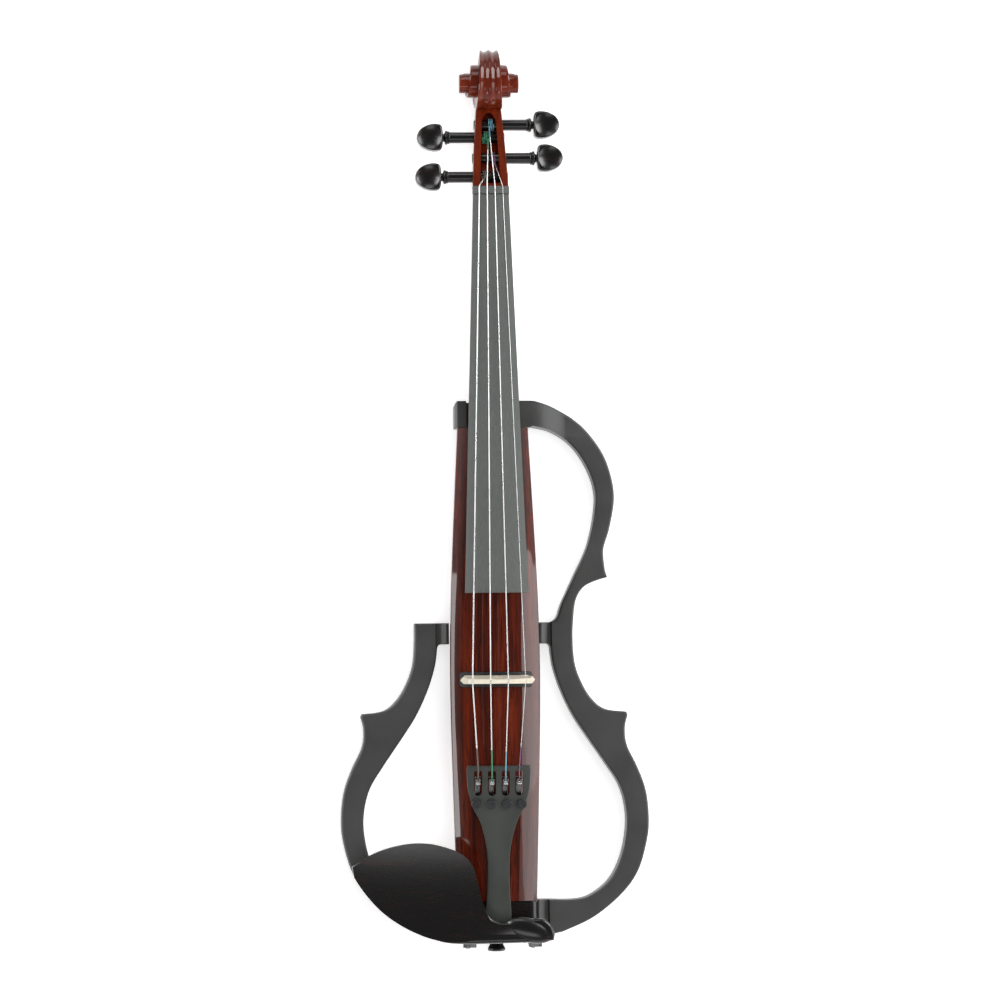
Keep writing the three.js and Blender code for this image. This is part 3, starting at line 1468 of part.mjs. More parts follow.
// Chinrest in plan: shares of the bout's half width and of the string length, from the cup's far side round
const cupEdgeShares = [
  [-0.945, -0.378], [-0.79, -0.349], [-0.62, -0.334], [-0.475, -0.332], [-0.35, -0.34], [-0.235, -0.356],
  [-0.17, -0.381], [-0.135, -0.418], [-0.112, -0.452], [-0.065, -0.482], [0, -0.494],
];
const cupBarShares = [[0.13, -0.494], [0.26, -0.487], [0.325, -0.499], [0.352, -0.518]];
const cupRimShares = [
  [-0.25, -0.537], [-0.42, -0.528], [-0.56, -0.511], [-0.68, -0.489], [-0.78, -0.463],
  [-0.87, -0.43], [-0.932, -0.4],
];
const chinrestAboveTailpiece = 1.16;
const chinrestThickness = 11;
const chinrestLow = tailpieceTop - tailpieceLength * Math.sin(tailpieceTilt) + chinrestAboveTailpiece;
const chinrestTop = chinrestLow + chinrestThickness;
const chinrestRound = 2.4;
const cupDepth = 4.6;
const cupRadius = 118;
const chinrestFootHalf = 9;
const chinrestFootDepth = 12;
const chinrestCork = 1.5;
const footSpread = 22;
const barShift = 2.2;
const cupFromCore = 11;
const barEndShare = [0.345, -0.532];
const barMiddleShare = 0.2;
const cupMiddleShare = -0.52;

function restPoint([across, along]) {
  return new THREE.Vector2(across * boutHalfWidth, along * stringLength);
}

function makeChinrestPlan() {
  const shape = new THREE.Shape();
  const start = restPoint(cupEdgeShares[0]);
  shape.moveTo(start.x, start.y);
  shape.splineThru(cupEdgeShares.slice(1).map(restPoint));
  shape.splineThru(cupBarShares.map(restPoint));
  const back = restPoint(barEndShare);
  shape.lineTo(back.x, back.y);
  shape.lineTo(barMiddleShare * boutHalfWidth, tailFace - chinrestRound);
  shape.splineThru(cupRimShares.map(restPoint));
  shape.closePath();
  return shape;
}

// Chinrest: a dished plate over the left bout whose bar bridges the tailpiece, on two corked feet
function makeChinrest() {
  const plate = slab(makeChinrestPlan(), chinrestLow, chinrestTop, chinrestRound, 3);
  const dish = new THREE.SphereGeometry(cupRadius, 40, 28);
  dish.rotateX(Math.PI / 2);
  dish.scale(1, 0.8, 1);
  dish.translate(cupMiddleShare * boutHalfWidth, bodyEnd + cupFromCore, chinrestTop - cupDepth + cupRadius);
  const feet = [-1, 1].map((side) => block(
    side * footSpread - chinrestFootHalf + barShift, side * footSpread + chinrestFootHalf + barShift,
    tailFace, tailFace + chinrestFootDepth,
    tailBlockTop + chinrestCork + seatGap, chinrestLow + chinrestRound,
  ));
  return union(plate.subtract(solid(dish)), ...feet);
}
addPiece("chinrest", makeChinrest(), ebony);

// Chinrest corks on the tail block, and the clamp: two posts, two turned barrels and a corked foot under
// the block
const barrelRadius = 3.75;
const barrelLength = 13;
const barrelLow = 14;
const postRadius = 1.6;
const footThickness = 2.4;
const footReach = 15;
const footWidth = 9;
const clampY = tailFace - seatGap - barrelRadius - seatGap;

function clampX(side) {
  return side * footSpread + barShift;
}

[-1, 1].forEach((side, i) => {
  const pad = block(
    clampX(side) - chinrestFootHalf, clampX(side) + chinrestFootHalf, tailFace, tailFace + chinrestFootDepth,
    tailBlockTop + seatGap / 2, tailBlockTop + chinrestCork + seatGap / 2,
  );
  addPiece("chinrest_cork_" + ["left", "right"][i], pad, cork);
});

// Upper bracket: a tab under each end of the chinrest bar, bent down into a threaded post
function makeUpperPost(side) {
  const x = clampX(side);
  const top = chinrestLow - seatGap;
  const tab = block(
    x - footWidth / 2, x + footWidth / 2, clampY - postRadius, tailFace - seatGap, top - footThickness, top,
  );
  const post = rod(
    point(x, clampY, barrelLow + barrelLength / 2 + seatGap), point(x, clampY, top), postRadius,
    postRadius, 12,
  );
  return tab.add(post);
}

// A barrel with a bore right through, and two cross holes for the key
function makeBarrel(side) {
  const x = clampX(side);
  const shell = rod(
    point(x, clampY, barrelLow), point(x, clampY, barrelLow + barrelLength), barrelRadius, barrelRadius,
    20,
  );
  const bore = rod(
    point(x, clampY, barrelLow - overrun), point(x, clampY, barrelLow + barrelLength + overrun),
    postRadius + runGap, postRadius + runGap, 12,
  );
  const middle = barrelLow + barrelLength / 2;
  const keyHole = rod(
    point(x, clampY - barrelRadius - overrun, middle),
    point(x, clampY, middle), postRadius / 2, postRadius / 2, 10,
  );
  return cut(shell, bore, keyHole);
}

// Lower foot: one plate under the tail block with a post up into each barrel
function makeClampFoot() {
  const top = frameBack - chinrestCork - seatGap;
  const plate = block(
    clampX(-1) - footWidth / 2, clampX(1) + footWidth / 2, clampY - postRadius, tailFace + footReach,
    top - footThickness, top,
  );
  const window = block(
    clampX(-1) + footWidth / 2, clampX(1) - footWidth / 2,
    clampY - barrelRadius - overrun, tailFace + footReach / 2,
    -overrun, frameBack,
  );
  const posts = [-1, 1].map((side) => rod(
    point(clampX(side), clampY, top - footThickness / 2),
    point(clampX(side), clampY, barrelLow + barrelLength / 2 - seatGap), postRadius, postRadius, 12,
  ));
  return union(plate.subtract(window), ...posts);
}

function makeFootCork() {
  return block(
    clampX(-1) - footWidth / 2, clampX(1) + footWidth / 2,
    tailFace + footReach / 2 + seatGap, tailFace + footReach,
    frameBack - chinrestCork - seatGap / 2, frameBack - seatGap / 2,
  );
}

addPiece("clamp_foot", makeClampFoot(), steel);
addPiece("clamp_foot_cork", makeFootCork(), cork);
[-1, 1].forEach((side, i) => {
  const word = ["left", "right"][i];
  addPiece("clamp_post_" + word, makeUpperPost(side), steel);
  addPiece("clamp_barrel_" + word, makeBarrel(side), steel);
});

// Battery and its sliding door, both in the back
const snapHeight = 1;
const snapRise = 1.5;
const snapRadius = 3;
const batteryCorner = 1.2;
function makeDoor() {
  const half = batteryWidth / 2 + doorLip + bayClear - seatGap;
  const plate = block(-half, half, doorY0, doorY1 - seatGap, coverRecess, coverRecess + doorThickness);
  const grip = [0, 1, 2].map((i) => {
    const y = doorY0 + doorRail * (2 + 2 * i);
    return block(-half / 2, half / 2, y, y + doorRail, -coverRecess, coverRecess + doorRail / 3);
  });
  return cut(plate, ...grip);
}
addPiece("battery_door", makeDoor(), blackPlastic);

function makeBattery() {
  const low = coverRecess + doorThickness + seatGap;
  const cell = slab(
    roundedPlan(0, batteryBayY, batteryWidth, batteryLength - 2 * snapHeight, batteryCorner),
    low, low + batteryDepth, 0, 3,
  );
  const y = batteryBayY + batteryLength / 2 - snapRise;
  const snaps = [-1, 1].map((side) => rod(
    point(side * batteryWidth / 4, y, low + batteryDepth / 2),
    point(side * batteryWidth / 4, y + snapRise, low + batteryDepth / 2), snapRadius, snapRadius, 12,
  ));
  return union(cell, ...snaps);
}
addPiece("battery", makeBattery(), cellBlack);

// Control cover with a dish for each knob and a slot for the switch
function makeCover() {
  const low = coverRecess;
  const high = coverRecess + coverThickness;
  const plate = slab(roundedPlan(0, controlBayY, coverWidth, coverLength, coverLip), low, high);
  const shells = [-1, 1].map((side) => {
    const x = (side * knobSpacing) / 2;
    const outer = dishRadius + dishWall;
    return rod(
      point(x, knobY, mix(low, high, 0.05)), point(x, knobY, dishDepth + coverThickness), outer, outer,
      20,
    );
  });
  const dishes = [-1, 1].map((side) => {
    const x = (side * knobSpacing) / 2;
    return rod(point(x, knobY, -overrun), point(x, knobY, dishDepth), dishRadius, dishRadius, 20);
  });
  const bores = [-1, 1].map((side) => {
    const x = (side * knobSpacing) / 2;
    return rod(
      point(x, knobY, -overrun), point(x, knobY, controlBayTop), shaftRadius + runGap,
      shaftRadius + runGap, 14,
    );
  });
  const screws = coverScrewPlaces().map(([x, y]) => rod(
    point(x, y, -overrun), point(x, y, high + overrun),
    coverScrewRadius + seatGap, coverScrewRadius + seatGap, 14,
  ));
  const slot = block(
    -switchTravel / 2 - switchWidth / 2 - runGap, switchTravel / 2 + switchWidth / 2 + runGap,
    switchY - switchWidth / 2 - runGap, switchY + switchWidth / 2 + runGap, -overrun, high + overrun,
  );
  return cut(union(plate, ...shells), ...dishes, ...bores, ...screws, slot);
}
const shaftRadius = 3;
const switchWidth = 4;
const switchTravel = 5;
const socketFloor = 1.5;
const switchHeight = 6;
const coverScrewRadius = 2.6;
const coverScrewInset = 3.1;
const boardThickness = 1.6;
const potHeight = 6;
const potRadius = 8;
const shaftEnd = dishDepth + coverThickness + potHeight / 2;
const pointerWidth = 1;
const pointerDepth = 0.6;

function coverScrewPlaces() {
  const x = coverWidth / 2 - coverScrewInset;
  const y = coverLength / 2 - coverScrewInset;
  return [[-x, controlBayY - y], [x, controlBayY - y], [x, controlBayY + y], [-x, controlBayY + y]];
}
addPiece("control_cover", makeCover(), blackPlastic);

coverScrewPlaces().forEach(([x, y], i) => {
  const high = coverRecess + coverThickness;
  const head = rod(
    point(x, y, coverRecess), point(x, y, high - seatGap), coverScrewRadius, coverScrewRadius * 0.7, 14,
  );
  addPiece("cover_screw_" + (i + 1), head, steel);
});

// Circuit board with the two potentiometers, bored for the knobs' shafts, and the slide switch
function makePreamp() {
  const potLow = dishDepth + coverThickness + seatGap;
  const low = potLow + potHeight;
  const half = controlBayWidth / 2 - bayClear;
  const board = block(
    -half, half, controlBayY - controlBayLength / 2 + bayClear, controlBayY + controlBayLength / 2 - bayClear,
    low, low + boardThickness,
  );
  const pots = [-1, 1].map((side) => {
    const x = (side * knobSpacing) / 2;
    const can = rod(
      point(x, knobY, potLow), point(x, knobY, low + boardThickness / 2), potRadius, potRadius, 20,
    );
    const clear = shaftRadius + runGap;
    return can.subtract(rod(
      point(x, knobY, potLow - overrun), point(x, knobY, shaftEnd + seatGap), clear, clear, 14,
    ));
  });
  const body = block(
    -switchTravel - switchWidth / 2, switchTravel + switchWidth / 2,
    switchY - switchWidth, switchY + switchWidth,
    coverRecess + coverThickness + switchHeight / 2 + seatGap, low + boardThickness / 2,
  );
  return union(board, ...pots, body);
}
addPiece("preamp_board", makePreamp(), boardGreen);

// Knob with a fluted rim, a pointer groove and the shaft that runs into its potentiometer
function makeKnob(x) {
  const ribs = 16;
  const outline = new THREE.Shape();
  for (let i = 0; i < ribs * 2; i++) {
    const angle = (Math.PI * i) / ribs;
    const radius = i % 2 ? knobRadius : knobRadius * 0.94;
    const corner = [x + radius * Math.cos(angle), knobY + radius * Math.sin(angle)];
    if (i === 0) {
      outline.moveTo(...corner);
    } else {
      outline.lineTo(...corner);
    }
  }
  outline.closePath();
  const low = coverRecess;
  const cap = slab(outline, low, low + knobHeight);
  const shaft = rod(
    point(x, knobY, low + knobHeight / 2), point(x, knobY, shaftEnd), shaftRadius, shaftRadius, 14,
  );
  const pointer = block(
    x - pointerWidth / 2, x + pointerWidth / 2, knobY,
    knobY + knobRadius + overrun, low - overrun, low + pointerDepth,
  );
  return cap.add(shaft).subtract(pointer);
}
addPiece("volume_knob", makeKnob(-knobSpacing / 2), blackPlastic);
addPiece("tone_knob", makeKnob(knobSpacing / 2), blackPlastic);

function makeSwitch() {
  const half = switchWidth / 2;
  const tab = block(
    -switchTravel / 2 - half, -switchTravel / 2 + half, switchY - half, switchY + half,
    coverRecess, coverRecess + coverThickness + switchHeight / 2,
  );
  return tab;
}
addPiece("power_switch", makeSwitch(), blackPlastic);

// Sockets in the E side of the core: a flanged barrel with a blind bore each
function makeSocket(y, radius, bore) {
  const outer = bodyHalfAt(y) - sideDraft / 2;
  const inner = outer - socketDepth + seatGap + sideDraft / 2;
  const shell = rod(point(inner, y, jackHeight), point(outer, y, jackHeight), radius, radius, 20);
  const hole = rod(
    point(inner + socketFloor, y, jackHeight), point(outer + overrun, y, jackHeight), bore, bore, 16,
  );
  return shell.subtract(hole);
}
addPiece("output_socket", makeSocket(jackY, jackRadius, jackBore), blackPlastic);
addPiece("phones_socket", makeSocket(phonesY, phonesRadius, phonesBore), blackPlastic);
export default violin;
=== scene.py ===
# %% [markdown]
# An electric violin lies on its back and the camera looks down on it. The solids of every part already exist,
# so this lesson dresses them: it makes smooth pieces where a curved, polished surface needs them, and it gives
# each part a finish built from nodes. All lengths are in metres, and the bridge stands over the origin, with
# the scroll towards +Y and the strings towards +Z.
# %% Load the solids and note their box
import json
import math

import bmesh
import bpy
from mathutils import Matrix, Vector


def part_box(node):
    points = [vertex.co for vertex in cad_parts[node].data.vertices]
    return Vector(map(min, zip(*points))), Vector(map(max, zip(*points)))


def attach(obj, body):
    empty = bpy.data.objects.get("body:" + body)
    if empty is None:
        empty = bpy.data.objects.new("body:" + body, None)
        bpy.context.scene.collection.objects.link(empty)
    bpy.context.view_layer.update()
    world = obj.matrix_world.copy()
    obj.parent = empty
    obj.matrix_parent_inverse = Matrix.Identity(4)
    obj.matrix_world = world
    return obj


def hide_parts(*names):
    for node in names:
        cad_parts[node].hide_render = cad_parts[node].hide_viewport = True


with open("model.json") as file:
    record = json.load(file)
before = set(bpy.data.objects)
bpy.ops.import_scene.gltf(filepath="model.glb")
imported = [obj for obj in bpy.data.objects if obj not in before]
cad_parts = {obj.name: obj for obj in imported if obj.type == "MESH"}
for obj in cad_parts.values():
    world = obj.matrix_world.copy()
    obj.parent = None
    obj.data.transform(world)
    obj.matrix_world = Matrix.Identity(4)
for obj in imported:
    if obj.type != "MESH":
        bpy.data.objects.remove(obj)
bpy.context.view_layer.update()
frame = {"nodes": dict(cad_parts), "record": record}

# %% [markdown]
# The photograph was taken from about three metres, a little from the left and a little from the tail end.
# A long lens gives the same flat look. The camera's three axes are worked out from those two angles and a
# small roll, which is easier to check than a rotation typed in by hand.
# %% Camera
MM = 0.001
YAW, PITCH, ROLL = (math.radians(angle) for angle in (4.007, 2.2, -0.573))
CAMERA_AWAY = 3.0
LOOKS_AT = Vector((4.688, 121.22, 30)) * MM


def aim(yaw, pitch, roll, distance, target):
    """Matrix of a camera that looks at a target from a yaw to the left and a pitch to the tail."""
    away = Vector((-math.sin(yaw) * math.cos(pitch), -math.sin(pitch), math.cos(yaw) * math.cos(pitch)))
    right = (-away).cross(Vector((0, 1, 0))).normalized()
    up = right.cross(-away)
    across = right * math.cos(roll) + up * math.sin(roll)
    upright = up * math.cos(roll) - right * math.sin(roll)
    turn = Matrix((across, upright, away)).transposed().to_4x4()
    return Matrix.Translation(target + away * distance) @ turn


lens = bpy.data.cameras.new("studio_camera")
lens.sensor_width = 36
lens.lens = 159.68
lens.clip_end = 50
camera = bpy.data.objects.new("studio_camera", lens)
bpy.context.scene.collection.objects.link(camera)
camera.matrix_world = aim(YAW, PITCH, ROLL, CAMERA_AWAY, LOOKS_AT)
bpy.context.scene.camera = camera
print("camera stands at", [round(v, 3) for v in camera.matrix_world.translation])

# %% [markdown]
# Polished lacquer shows the studio as much as its own colour. Long soft boxes on the two sides draw the pale bands
# that run down the arched front, and a sky that is bright low down and dim overhead keeps the middle of the front
# deep red. The band on the right fades towards the tail, so three boxes that reach less and less far overlap.
# Four more boxes only show in shiny surfaces: two beside the scroll draw the pale stripes in its flutes, one above
# it shows in the hollows of the pegs, and one shows in the upper part of the dished chinrest. The fill overhead is
# the other way round: it lights colours, but no surface mirrors it, so it brightens the picture without laying a
# grey veil over the dark wood. The sky is also dimmer to the north, which keeps the pegbox from washing out.
# %% Lights and sky
scene = bpy.context.scene
scene.view_settings.view_transform = "Standard"


def soft_box(name, place, size, power, shape="RECTANGLE", aim_y=None, lit="both"):
    """A large area light that faces the middle line of the violin. It may light only the shine, or only colours."""
    lamp = bpy.data.lights.new(name, "AREA")
    lamp.shape = shape
    lamp.size, lamp.size_y = size
    lamp.energy = power
    holder = bpy.data.objects.new(name, lamp)
    scene.collection.objects.link(holder)
    facing = Vector((0, place[1] if aim_y is None else aim_y, 0.03)) - Vector(place)
    back = -facing.normalized()
    across = Vector((0, 1, 0)).cross(back).normalized()
    turn = Matrix((across, back.cross(across), back)).transposed().to_4x4()
    holder.matrix_world = Matrix.Translation(place) @ turn
    holder.visible_diffuse = lit != "shine"
    holder.visible_glossy = lit != "colour"


soft_box("right_box", (1.36, 0.02, 0.66), (1.15, 0.38), 3.6, "ELLIPSE")
soft_box("right_long_box", (1.36, -0.07, 0.66), (1.15, 0.56), 3.9, "ELLIPSE")
soft_box("right_low_box", (1.36, -0.45, 0.66), (1.15, 0.58), 1.6)
soft_box("left_box", (-1.40, -0.46, 0.62), (0.26, 1.30), 6.0)
soft_box("scroll_left_box", (-1.20, 1.00, 0.95), (0.80, 0.90), 18.0, aim_y=0.41, lit="shine")
soft_box("scroll_right_box", (1.20, 0.95, 0.80), (0.80, 0.90), 18.0, aim_y=0.41, lit="shine")
soft_box("peg_box", (-0.10, 1.33, 0.65), (0.60, 0.47), 2.4, aim_y=0.41, lit="shine")
soft_box("tail_box", (-0.12, -0.80, 1.42), (1.0, 0.5), 3.2, aim_y=-0.15, lit="shine")
soft_box("fill_box", (0.35, 0.25, 1.70), (1.50, 1.50), 23.0, aim_y=0.12, lit="colour")


def fresh_nodes(owner, *kinds):
    """Clears the node tree of a world or a material, and hands back its tree and the new nodes."""
    owner.use_nodes = True
    tree = owner.node_tree
    tree.nodes.clear()
    return (tree, *(tree.nodes.new("ShaderNode" + kind) for kind in kinds))


def link_all(tree, *pairs):
    for source, target in pairs:
        tree.links.new(source, target)


sky = bpy.data.worlds.new("studio_sky")
scene.world = sky
tree, direction, split, shade, north, background, output = fresh_nodes(
    sky, "TexCoord", "SeparateXYZ", "ValToRGB", "MapRange", "Background", "OutputWorld")
for stop, place, grey in zip(shade.color_ramp.elements, (0.24, 0.64), (1, 0.09)):
    stop.position, stop.color = place, (grey, grey, grey, 1)
for socket, value in (("From Min", 0.3), ("From Max", 0.9), ("To Min", 1.0), ("To Max", 0.45)):
    north.inputs[socket].default_value = value
link_all(
    tree,
    (direction.outputs["Generated"], split.inputs[0]),
    (split.outputs["Z"], shade.inputs[0]),
    (shade.outputs[0], background.inputs["Color"]),
    (split.outputs["Y"], north.inputs["Value"]),
    (north.outputs[0], background.inputs["Strength"]),
    (background.outputs[0], output.inputs[0]),
)

# %% [markdown]
# The floor is a plain pale sheet. A white sheet under this light would render light grey, so its material adds
# a little glow of its own for the camera and for mirror-like surfaces. The glow is the same everywhere, and the
# shadow of the violin still darkens the rest.
# %% Floor
wide = bmesh.new()
bmesh.ops.create_grid(wide, x_segments=1, y_segments=1, size=6)
floor_mesh = bpy.data.meshes.new("floor")
wide.to_mesh(floor_mesh)
wide.free()
floor = bpy.data.objects.new("floor", floor_mesh)
scene.collection.objects.link(floor)
floor.location.z = -0.0004
paper = bpy.data.materials.new("pale_floor")
tree, dull, glow, path, seen, mirrored, strength, both, output = fresh_nodes(
    paper, "BsdfDiffuse", "Emission", "LightPath", "Math", "Math", "Math", "AddShader", "OutputMaterial")
dull.inputs["Color"].default_value = (0.9, 0.9, 0.9, 1)
seen.operation = mirrored.operation = "MAXIMUM"
strength.operation = "MULTIPLY"
strength.inputs[1].default_value = 0.62
link_all(
    tree,
    (path.outputs["Is Glossy Ray"], mirrored.inputs[0]),
    (path.outputs["Is Transmission Ray"], mirrored.inputs[1]),
    (path.outputs["Is Camera Ray"], seen.inputs[0]),
    (mirrored.outputs[0], seen.inputs[1]),
    (seen.outputs[0], strength.inputs[0]),
    (strength.outputs[0], glow.inputs["Strength"]),
    (dull.outputs[0], both.inputs[0]),
    (glow.outputs[0], both.inputs[1]),
    (both.outputs[0], output.inputs[0]),
)
floor_mesh.materials.append(paper)
print("floor lies at z", floor.location.z)

# %% [markdown]
# Every finish here is built the same way: a Principled shader whose colour, roughness and bump each come from a
# pattern. A pattern reads Object coordinates, which are metres on the violin, so a scale of 1000 means detail
# about a millimetre across. Stretching a pattern along one axis turns blotches into grain or brushing.
# %% Helpers for finishes
def linear(*rgb):
    """A colour written as 0 to 255 screen values, as the light values that the shader wants."""
    return tuple(((c / 255 + 0.055) / 1.055) ** 2.4 if c > 10 else c / 255 / 12.92 for c in rgb) + (1.0,)


class Finish:
    """A Principled material with small helpers that add one node each."""

    def __init__(self, name, **constants):
        self.material = bpy.data.materials.new(name)
        self.material.use_nodes = True
        self.tree = self.material.node_tree
        self.shader = self.tree.nodes["Principled BSDF"]
        for socket, value in constants.items():
            self.shader.inputs[socket.replace("_", " ")].default_value = value
        self.place = self.tree.nodes.new("ShaderNodeTexCoord").outputs["Object"]

    def add(self, kind, **settings):
        node = self.tree.nodes.new("ShaderNode" + kind)
        for key, value in settings.items():
            setattr(node, key, value)
        return node

    def link(self, source, target):
        self.tree.links.new(source, target)
        return target

    def stretched(self, scale, turn=(0, 0, 0)):
        """Object coordinates, stretched or turned."""
        mapping = self.add("Mapping")
        mapping.inputs["Scale"].default_value = scale
        mapping.inputs["Rotation"].default_value = turn
        self.link(self.place, mapping.inputs["Vector"])
        return mapping.outputs["Vector"]

    def noise(self, scale, detail=4, roughness=0.5, distortion=0.0, stretch=(1, 1, 1), turn=(0, 0, 0)):
        node = self.add("TexNoise")
        node.inputs["Scale"].default_value = scale
        node.inputs["Detail"].default_value = detail
        node.inputs["Roughness"].default_value = roughness
        node.inputs["Distortion"].default_value = distortion
        self.link(self.stretched(stretch, turn), node.inputs["Vector"])
        return node.outputs[0]

    def ramp(self, source, *stops):
        """Colours or values at places along a pattern."""
        node = self.add("ValToRGB")
        band = node.color_ramp
        while len(band.elements) < len(stops):
            band.elements.new(0.5)
        for element, (place, colour) in zip(band.elements, stops):
            element.position = place
            element.color = colour if isinstance(colour, tuple) else (colour, colour, colour, 1)
        self.link(source, node.inputs[0])
        return node.outputs[0]

    def mix(self, share, first, second, blend="MIX"):
        node = self.add("Mix", data_type="RGBA", blend_type=blend)
        for socket, value in ((node.inputs[0], share), (node.inputs[6], first), (node.inputs[7], second)):
            if isinstance(value, bpy.types.NodeSocket):
                self.link(value, socket)
            elif isinstance(value, tuple):
                socket.default_value = value
            else:
                socket.default_value = value if socket == node.inputs[0] else (value, value, value, 1)
        return node.outputs[2]

    def bump(self, height, depth, strength=1.0, under=None):
        """Relief as deep as depth metres, added to any relief below it."""
        node = self.add("Bump")
        node.inputs["Strength"].default_value = strength
        node.inputs["Distance"].default_value = depth
        self.link(height, node.inputs["Height"])
        if under is not None:
            self.link(under, node.inputs["Normal"])
        return node.outputs["Normal"]

    def wear(self, colour=None, roughness=None, normal=None):
        """Plugs the patterns into the shader and hands back the finished material."""
        for source, socket in ((colour, "Base Color"), (roughness, "Roughness"), (normal, "Normal")):
            if source is not None:
                self.link(source, self.shader.inputs[socket])
        return self.material


print("helpers ready")

# %% [markdown]
# The front, the neck and the scroll wear red-brown wood under thick gloss lacquer. The front's grain is a noise
# stretched many times along the violin, and a second, finer noise draws its short dark pores. The neck is a plainer
# wood of a warmer colour, so the same function draws its streaks and pores faintly. The lacquer is the shader's
# coat: it mirrors the studio sharply, and the wood below it stays softer.
# %% Red-brown wood under gloss lacquer
def lacquered_wood(name, tones, streak_share, pore_share, coat_ior):
    wood = Finish(name, Coat_Weight=1.0, Coat_Roughness=0.035, Coat_IOR=coat_ior, Specular_IOR_Level=0.05)
    figure = wood.noise(1, detail=5, roughness=0.55, distortion=1.3, stretch=(85, 6.5, 85))
    streaks = wood.noise(1, detail=6, roughness=0.65, distortion=0.5, stretch=(420, 14, 420))
    pores = wood.noise(1, detail=3, roughness=0.6, stretch=(1700, 55, 1700))
    base = wood.ramp(figure, *((place, linear(*tone)) for place, tone in zip((0.30, 0.5, 0.72), tones)))
    dark = wood.ramp(streaks, (0.38, streak_share), (0.51, 0.0))
    coloured = wood.mix(dark, base, linear(42, 10, 3))
    flecks = wood.ramp(pores, (0.36, pore_share), (0.46, 0.0))
    coloured = wood.mix(flecks, coloured, linear(28, 7, 2))
    dullness = wood.ramp(streaks, (0.3, 0.42), (0.7, 0.30))
    ripple = wood.noise(26, detail=2)
    swell = wood.bump(ripple, 0.00025, 0.5)
    wood.link(swell, wood.shader.inputs["Coat Normal"])
    return wood.wear(coloured, dullness, wood.bump(pores, 0.00003, 0.4, swell))


red_wood = lacquered_wood("red_brown_lacquered_wood", ((54, 13, 3), (82, 22, 6), (116, 39, 12)), 0.85, 0.75, 1.5)
neck_wood = lacquered_wood("red_brown_lacquered_neck", ((92, 27, 9), (110, 35, 13), (128, 45, 18)), 0.3, 0.25, 1.4)
print("made", red_wood.name, neck_wood.name)

# %% [markdown]
# The side frames and the tailpiece are moulded and satin black. Up close such a skin has a fine orange-peel texture,
# so the bump is a small noise, and a large soft noise varies the colour and the roughness, as handling does.
# %% Satin black
def satin(name, colour, low, high, peel=0.00004, grain=2600, shine=0.5):
    coat = Finish(name, Specular_IOR_Level=shine)
    cloud = coat.noise(38, detail=3)
    speck = coat.noise(grain, detail=2, roughness=0.6)
    darker, lighter, dust = (tuple(c * level for c in colour[:3]) + (1,) for level in (0.86, 1.14, 1.6))
    tint = coat.ramp(cloud, (0.3, darker), (0.7, lighter))
    tint = coat.mix(coat.ramp(speck, (0.35, 0.22), (0.65, 0.0)), tint, dust)
    dullness = coat.ramp(cloud, (0.3, low), (0.7, high))
    return coat.wear(tint, dullness, coat.bump(speck, peel, 0.5))


satin_black = satin("satin_black_paint", linear(54, 55, 54), 0.36, 0.44, shine=0.6)
tail_black = satin("satin_black_tailpiece", linear(50, 53, 49), 0.40, 0.48)
moulded_black = satin("moulded_black", linear(30, 31, 33), 0.38, 0.55, 0.00003, 3800)
print("made", [m.name for m in (satin_black, tail_black, moulded_black)])

# %% [markdown]
# The fingerboard is a dull grey-black with a faint lengthwise brushing. The pegs, the tail block and the chinrest
# are a blacker, polished wood in which a little red-brown grain shows where the light strikes it.
# %% Board black and polished ebony
def board_black():
    board = Finish("dull_board_black", Specular_IOR_Level=0.4)
    brushing = board.noise(1, detail=4, roughness=0.6, stretch=(2600, 60, 2600))
    cloud = board.noise(22, detail=3)
    tint = board.ramp(brushing, (0.3, linear(80, 84, 81)), (0.7, linear(97, 101, 98)))
    tint = board.mix(board.ramp(cloud, (0.35, 0.25), (0.65, 0.0)), tint, linear(72, 75, 73))
    dullness = board.ramp(cloud, (0.3, 0.56), (0.7, 0.66))
    return board.wear(tint, dullness, board.bump(brushing, 0.00002, 0.5))


def polished_ebony(name, turn=(0, 0, 0)):
    ebony = Finish(name, Coat_Weight=0.45, Coat_Roughness=0.22, Specular_IOR_Level=0.45)
    grain = ebony.noise(1, detail=5, roughness=0.62, distortion=0.8, stretch=(30, 210, 210), turn=turn)
    pores = ebony.noise(1, detail=3, roughness=0.6, stretch=(130, 2100, 2100), turn=turn)
    tint = ebony.ramp(grain, (0.36, linear(9, 8, 8)), (0.58, linear(16, 12, 11)), (0.8, linear(48, 22, 15)))
    tint = ebony.mix(ebony.ramp(pores, (0.36, 0.6), (0.46, 0.0)), tint, linear(6, 6, 6))
    dullness = ebony.ramp(grain, (0.3, 0.31), (0.7, 0.25))
    return ebony.wear(tint, dullness, ebony.bump(pores, 0.00001, 0.4))


dull_board = board_black()
ebony = polished_ebony("polished_ebony")
print("made", dull_board.name, ebony.name)

# %% [markdown]
# Small fittings need their own finishes: bright steel with hairline polishing, pale maple for the bridge with the
# tiny dark flecks of cut rays, ground cork, the printed board's green lacquer and the battery's dark sleeve. The
# tuner arms are the same steel made darker, as painted shade for the shade down in the tailpiece's slots.
# %% Steel, maple, cork, board and battery
def bright_steel(name="bright_steel", dim=1.0):
    steel = Finish(name, Metallic=1.0)
    hair = steel.noise(1, detail=4, roughness=0.7, stretch=(600, 5200, 600))
    cloud = steel.noise(160, detail=2)
    low, high = ((grey * dim, grey * dim, (grey + 0.01) * dim, 1) for grey in (0.60, 0.76))
    tint = steel.ramp(hair, (0.3, low), (0.7, high))
    dullness = steel.ramp(cloud, (0.3, 0.16), (0.7, 0.30))
    return steel.wear(tint, dullness, steel.bump(hair, 0.00001, 0.4))


